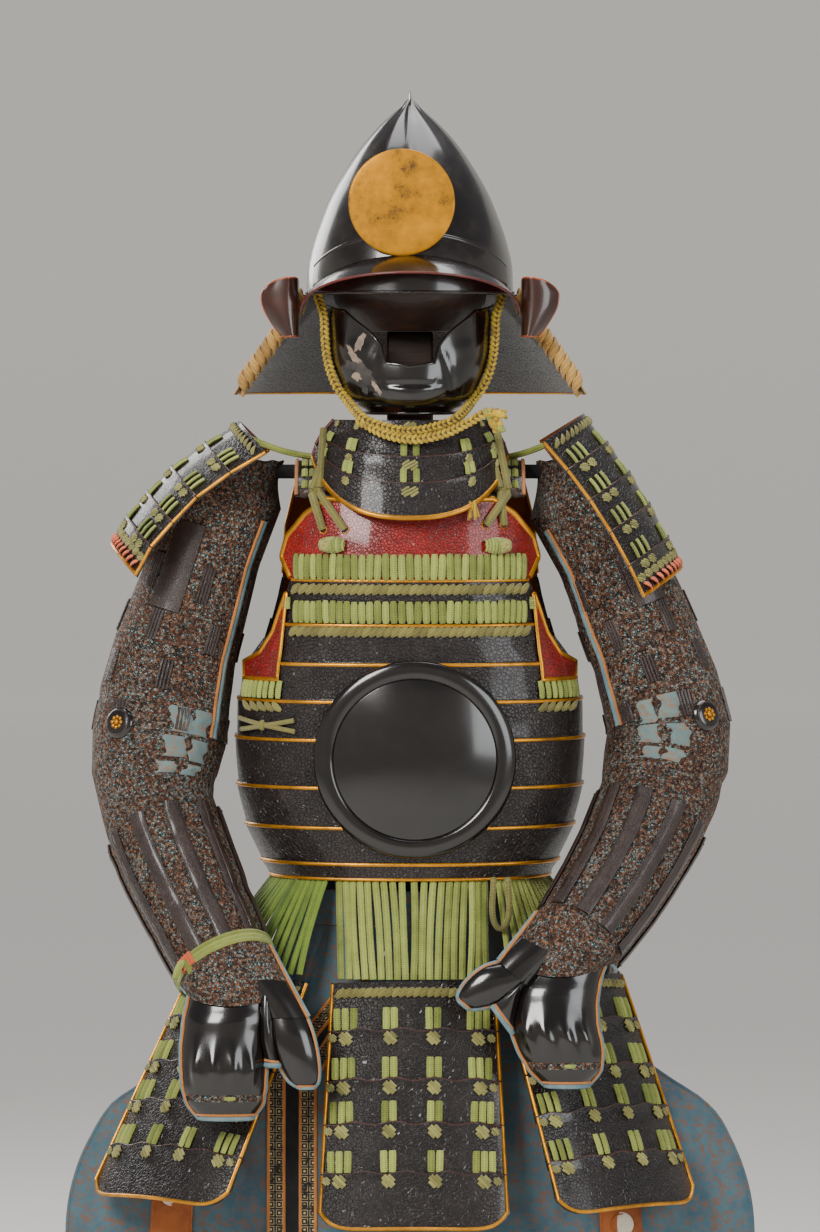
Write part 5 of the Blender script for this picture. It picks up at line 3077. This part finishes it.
@dataclass(frozen=True)
class Skirt:
    """Thigh apron: belt, two cloth panels, their edging and two leather straps."""

    cloth: float = 2.0
    slit_half: float = 9.0

    def limits(self, side: int, z: float) -> tuple:
        """Sides of a panel at a height."""
        half = smooth(APRON, z, 1)
        fall = min(1.0, (662 - z) / 160)
        slit = mix(-6, APRON_SLIT, fall)
        gap = mix(0.3, self.slit_half, fall)
        return (-half, slit - gap) if side < 0 else (slit + gap, half)

    def panel(self, side: int, palette: Palette) -> None:
        """One panel with its rolled edge, brocade edging and orange piping."""
        name = "left" if side < 0 else "right"
        maker = Maker(f"apron {name} cloth")

        def at(u: float, v: float, out: float) -> Vector:
            z = mix(145, 662, v)
            low, high = self.limits(side, z)
            return apron_point(z, mix(low, high, u), out)

        columns = 80 if side < 0 else 140
        maker.leaf(columns, 110, at, 0.4, -1.6, palette.cloth)
        obj = maker.finish([f"apron_{name}"], "blue_cloth")
        width = 0.0
        for k in range(60):
            width += (at(k / 60, 0.3, 0) - at((k + 1) / 60, 0.3, 0)).length
        for k in range(40):
            line = sum(
                (at(j / 40, (k + 0.5) / 40, 0) - at((j + 1) / 40, (k + 0.5) / 40, 0)).length
                for j in range(40)
            )
        self.edging(side, name, at, palette)

    def edging(self, side: int, name: str, at: Place, palette: Palette) -> None:
        """Edges of one panel."""
        maker = Maker(f"apron {name} edging")
        trim = Trim(maker, palette, random.Random(SEED + 50 + side))
        outer = 0.0 if side < 0 else 1.0
        rolled = [(outer, v / 60) for v in range(61)]
        trim.edge(at, rolled, -0.4, 5.0, 4.6, palette.cloth)
        low = [(u / 60, 0.0) for u in range(61)]
        trim.edge(at, low, -0.4, 5.0, 4.6, palette.cloth)

        def mm(x: float, z: float, out: float) -> Vector:
            return apron_point(z, x, out)

        def band(u: float, v: float, out: float, wide: float = 15.0) -> Vector:
            z = mix(146, 600, v)
            edge = self.limits(side, z)[1 if side < 0 else 0]
            return mm(edge + wide * u * (-1 if side < 0 else 1), z, out)

        maker.leaf(4, 90, band, 1.7, 0.9, palette.brocade, size=(15.0, 454.0))
        if side > 0:
            maker.shell(
                4, 90, lambda u, v: band(-1.2 * u, v, -0.2), lambda u, v: band(-1.2 * u, v, -1.2),
                palette.dark_cloth,
            )
        stations = [(1.08, v / 80) for v in range(81)]
        points, normals = along(band, stations, 1.2)
        maker.strand(points, normals, 3.8, 3.6, palette.piping)
        stations = [(0.0, v / 80) for v in range(81)]
        points, normals = along(band, stations, 0.2)
        maker.strand(points, normals, 4.0, 3.8, palette.piping)
        maker.finish()

    def strap(
        self, name: str, upper: float, lower: float, top: float, bottom: float, clear: float,
        palette: Palette,
    ) -> None:
        """Leather strap with plain white discs."""
        maker = Maker(f"apron strap {name} look")
        trim = Trim(maker, palette, random.Random(SEED + 60))

        def at(x: float, v: float, out: float) -> Vector:
            z = mix(bottom, top, v)
            return apron_point(z, mix(lower, upper, v) + x, out)

        maker.shell(
            10, 60, lambda u, v: at(mix(-22, 22, u), v, clear + 1.9),
            lambda u, v: at(mix(-22, 22, u), v, clear), palette.leather,
        )
        for x in (-21.4, 21.4):
            trim.edge(at, [(x, k / 40) for k in range(41)], clear + 1.2, 2.8, 2.6, palette.leather)
        for row in range(4):
            v = 0.80 - row * 0.26
            if v < 0.05:
                continue
            normal = normal_at(at, 0, v, 2)
            maker.bead(
                at(0, v, clear + 2.0), normal, Vector((1, 0, 0)), (27, 27, 3.0), palette.bone, detail=28
            )
            maker.ring(at(0, v, clear + 2.8), normal, 11.2, 1.6, palette.leather, 32)
        maker.finish([f"apron_strap_{name}"], "strap_leather")

    def belt(self, palette: Palette) -> None:
        """Waist belt of the apron."""
        maker = Maker("apron belt look")

        def at(u: float, v: float, out: float) -> Vector:
            angle = 2 * math.pi * u
            depth = 99 if math.cos(angle) >= 0 else 92
            wave = 0.5 * math.sin(angle * 9) * math.sin(v * 3.1)
            z = mix(662.4, 700, v)
            return Vector(
                ((130 + out + wave) * math.sin(angle), -(depth + out + wave) * math.cos(angle), z)
            )

        maker.leaf(96, 8, at, 0, -1.8, palette.cloth, ring=True)
        obj = maker.finish(["apron_belt"], "blue_cloth")
        girth = sum((at(k / 96, 0.5, 0) - at((k + 1) / 96, 0.5, 0)).length for k in range(96)) * MM
        LOG.info("belt cut %.0f mm", girth * 1000)

    def build(self, palette: Palette) -> None:
        """Builds the apron."""
        for side in (-1, 1):
            self.panel(side, palette)
        self.strap("left", -252, -262, 418, 200, 1.6, palette)
        self.strap("right", 224, 232, 378, 200, 0.7, palette)
        self.belt(palette)


@dataclass(frozen=True)
class Stand:
    """Display stand: base board, posts, bars in dark cloth and the head block."""

    width: float = 460.0
    depth: float = 360.0
    height: float = 28.0

    def block(
        self, name: str, node: str, low: Sequence[float], high: Sequence[float], bevel: float,
        material: Material, slot: str,
    ) -> None:
        """Rounded block between two corners."""
        maker = Maker(name)
        size = Vector(high) - Vector(low)
        matrix = Matrix.Translation(
            (Vector(low) + Vector(high)) / 2 * MM
        ) @ Matrix.Diagonal((*(size * MM), 1))
        made = bmesh.ops.create_cube(maker.bm, size=1.0, matrix=matrix, calc_uvs=True)
        edges = list({edge for vert in made["verts"] for edge in vert.link_edges})
        bmesh.ops.bevel(
            maker.bm, geom=edges, offset=bevel * MM, segments=4, profile=0.5, affect="EDGES", material=-1
        )
        maker.slot_of(material)
        for vert in maker.bm.verts:
            vert[maker.tint] = 0.4
        for face in maker.bm.faces:
            face.smooth = True
        maker.finish([node], slot, 40)

    def base(self, palette: Palette) -> None:
        """Base board with rounded corners and a moulded edge."""
        maker = Maker("stand base look")
        made = bmesh.ops.create_cube(
            maker.bm, size=1.0,
            matrix=Matrix.Translation((0, 0, self.height / 2 * MM)) @ Matrix.Diagonal(
                (self.width * MM, self.depth * MM, self.height * MM, 1)
            ),
            calc_uvs=True,
        )
        upright = [
            e
            for e in {
                edge for vert in made["verts"] for edge in vert.link_edges
            } if abs(e.verts[0].co.z - e.verts[1].co.z) > 0.01
        ]
        bmesh.ops.bevel(
            maker.bm, geom=upright, offset=30 * MM, segments=10, profile=0.5, affect="EDGES", material=-1
        )
        top = [e for e in maker.bm.edges if min(e.verts[0].co.z, e.verts[1].co.z) > (self.height - 1) * MM]
        bmesh.ops.bevel(
            maker.bm, geom=top, offset=5 * MM, segments=4, profile=0.5, affect="EDGES", material=-1
        )
        maker.slot_of(palette.wood)
        for face in maker.bm.faces:
            face.smooth = True
        maker.finish(["stand_base"], "stand_wood", 40)

    def crossbar(self, palette: Palette) -> None:
        """Upper bar in dark cloth, with a pale end piece."""
        self.block(
            "stand crossbar look", "stand_crossbar", (-230, -17, 1141), (210, 17, 1156), 5.5,
            palette.dark_cloth, "stand_cloth",
        )
        maker = Maker("crossbar cloth ends")

        def at(u: float, v: float, out: float) -> Vector:
            x = mix(-228, -190, u) + 2.5 * math.sin(v * 5)
            drop = 22 * v
            return Vector((x, -17.6 - out - 1.6 * math.sin(u * 7 + v * 2), 1154 - drop))

        maker.leaf(16, 16, at, 1.6, 0.2, palette.grey_cloth)
        maker.finish()

    def head(self, palette: Palette) -> None:
        """Rounded head block."""
        maker = Maker("stand head block look")
        rows = ((1300, 0.5), (1330, 0.74), (1372, 0.84), (1424, 0.9), (1450, 1.0), (1466, 0.7))

        def place(u: float, v: float) -> Vector:
            z = mix(1300, 1466, clamp(v * 1.1 - 0.05))
            share = straight(rows, z) * (1 if 0 < v < 1 else 0)
            edge = bowl_point(max(z, 1341), 2 * math.pi * u, -2.8)
            return Vector((edge.x * share, BOWL_SHIFT + (edge.y - BOWL_SHIFT) * share, z))

        maker.weld(maker.grid(48, 24, place, palette.wood), 0.02)
        maker.finish(["stand_head_block"], "stand_wood")

    def build(self, palette: Palette) -> None:
        """Builds the stand."""
        self.base(palette)
        self.block(
            "stand post look", "stand_post", (-25, -10, 28.3), (25, 26, 1140.7), 3.0, palette.wood,
            "stand_wood",
        )
        self.block(
            "stand neck look", "stand_neck", (-25, -10, 1156.3), (25, 26, 1299.7), 3.0, palette.wood,
            "stand_wood",
        )
        self.crossbar(palette)
        low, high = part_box("stand_waist_bar")
        self.block(
            "stand waist bar look", "stand_waist_bar", tuple(c * 1000 for c in low),
            tuple(c * 1000 for c in high), 2.5, palette.wood, "stand_wood",
        )
        self.head(palette)


@dataclass(frozen=True)
class Studio:
    """Pale floor and backdrop, soft light and the camera of the view."""

    distance: float = 8.0
    height: float = 1.27
    target: float = 0.992
    lens: float = 216.0
    room: float = 21.0
    wall: float = 8.0
    glow: float = 0.46

    def sweep(self) -> "bpy.types.Object":
        """Round floor that curves up into a low wall, wider than any camera stands."""
        bm = bmesh.new()
        corner = [bm.verts.new((self.room - 1.5, 0, 0))]
        for k in range(1, 13):
            turn = math.pi / 2 * k / 12
            corner.append(
                bm.verts.new((self.room - 1.5 + 1.5 * math.sin(turn), 0, 1.5 - 1.5 * math.cos(turn)))
            )
        corner.append(bm.verts.new((self.room, 0, self.wall)))
        line = [bm.edges.new((corner[i], corner[i + 1])) for i in range(len(corner) - 1)]
        bmesh.ops.spin(
            bm, geom=corner + line, axis=(0, 0, 1), cent=(0, 0, 0), steps=96, angle=2 * math.pi,
            use_merge=True,
        )
        bmesh.ops.create_circle(bm, cap_ends=True, segments=96, radius=self.room - 1.5)
        bmesh.ops.remove_doubles(bm, verts=bm.verts, dist=0.002)
        bmesh.ops.recalc_face_normals(bm, faces=bm.faces)
        for face in bm.faces:
            face.smooth = True
        mesh = bpy.data.meshes.new("floor")
        bm.to_mesh(mesh)
        bm.free()
        graph = Graph("floor paper")
        body = graph.coords(Look.OBJECT)
        grain = graph.noise(body, 30.0, 4.0)
        tone = graph.blend(grain * 0.3, (0.80, 0.79, 0.77), (0.76, 0.75, 0.73))
        mesh.materials.append(
            graph.surface(Base_Color=tone, Roughness=0.9, Emission_Color=tone, Emission_Strength=self.glow)
        )
        obj = bpy.data.objects.new("floor", mesh)
        bpy.context.scene.collection.objects.link(obj)
        return obj

    def lamp(self, name: str, place: tuple, size: float, power: float, tint: tuple) -> "bpy.types.Object":
        """Soft square lamp aimed at the armour."""
        data = bpy.data.lights.new(name, "AREA")
        data.shape = "SQUARE"
        data.size = size
        data.energy = power
        data.color = tint
        obj = bpy.data.objects.new(name, data)
        obj.location = place
        aim = Vector((0, 0, 0.95)) - Vector(place)
        obj.rotation_euler = aim.to_track_quat("-Z", "Y").to_euler()
        bpy.context.scene.collection.objects.link(obj)
        return obj

    def build(self) -> None:
        """Builds the studio."""
        pieces = [
            self.sweep(),
            self.lamp("key", (-1.6, -2.6, 2.6), 1.3, 122.0, (1.0, 0.98, 0.95)),
            self.lamp("fill", (2.4, -2.2, 1.5), 1.6, 44.0, (0.95, 0.98, 1.0)),
            self.lamp("top", (0.2, 0.4, 3.2), 1.8, 54.0, (1.0, 1.0, 1.0)),
            self.lamp("back", (-2.0, 2.6, 2.3), 1.8, 52.0, (1.0, 0.99, 0.97)),
        ]
        camera_data = bpy.data.cameras.new("camera")
        camera_data.lens = self.lens
        camera_data.sensor_width = 36.0
        camera = bpy.data.objects.new("camera", camera_data)
        camera.location = (0, -self.distance, self.height)
        aim = Vector((0, 0, self.target)) - camera.location
        camera.rotation_euler = aim.to_track_quat("-Z", "Y").to_euler()
        bpy.context.scene.collection.objects.link(camera)
        bpy.context.scene.camera = camera
        world = bpy.data.worlds.new("room")
        world.use_nodes = True
        world.node_tree.nodes["Background"].inputs[0].default_value = (0.80, 0.82, 0.85, 1.0)
        world.node_tree.nodes["Background"].inputs[1].default_value = 0.30
        bpy.context.scene.world = world


def main() -> None:
    """Builds everything in order."""
    logging.basicConfig(level=logging.INFO, format="%(relativeCreated)d %(name)s %(message)s")
    Studio().build()
    LOG.info("studio")
    palette = Palette()
    for part in (Body(), Tassets(), Helmet(), Face(), Shoulders(), Arms(), Skirt(), Stand()):
        part.build(palette)
        LOG.info("%s", type(part).__name__)


if __name__ == "__main__":
    main()
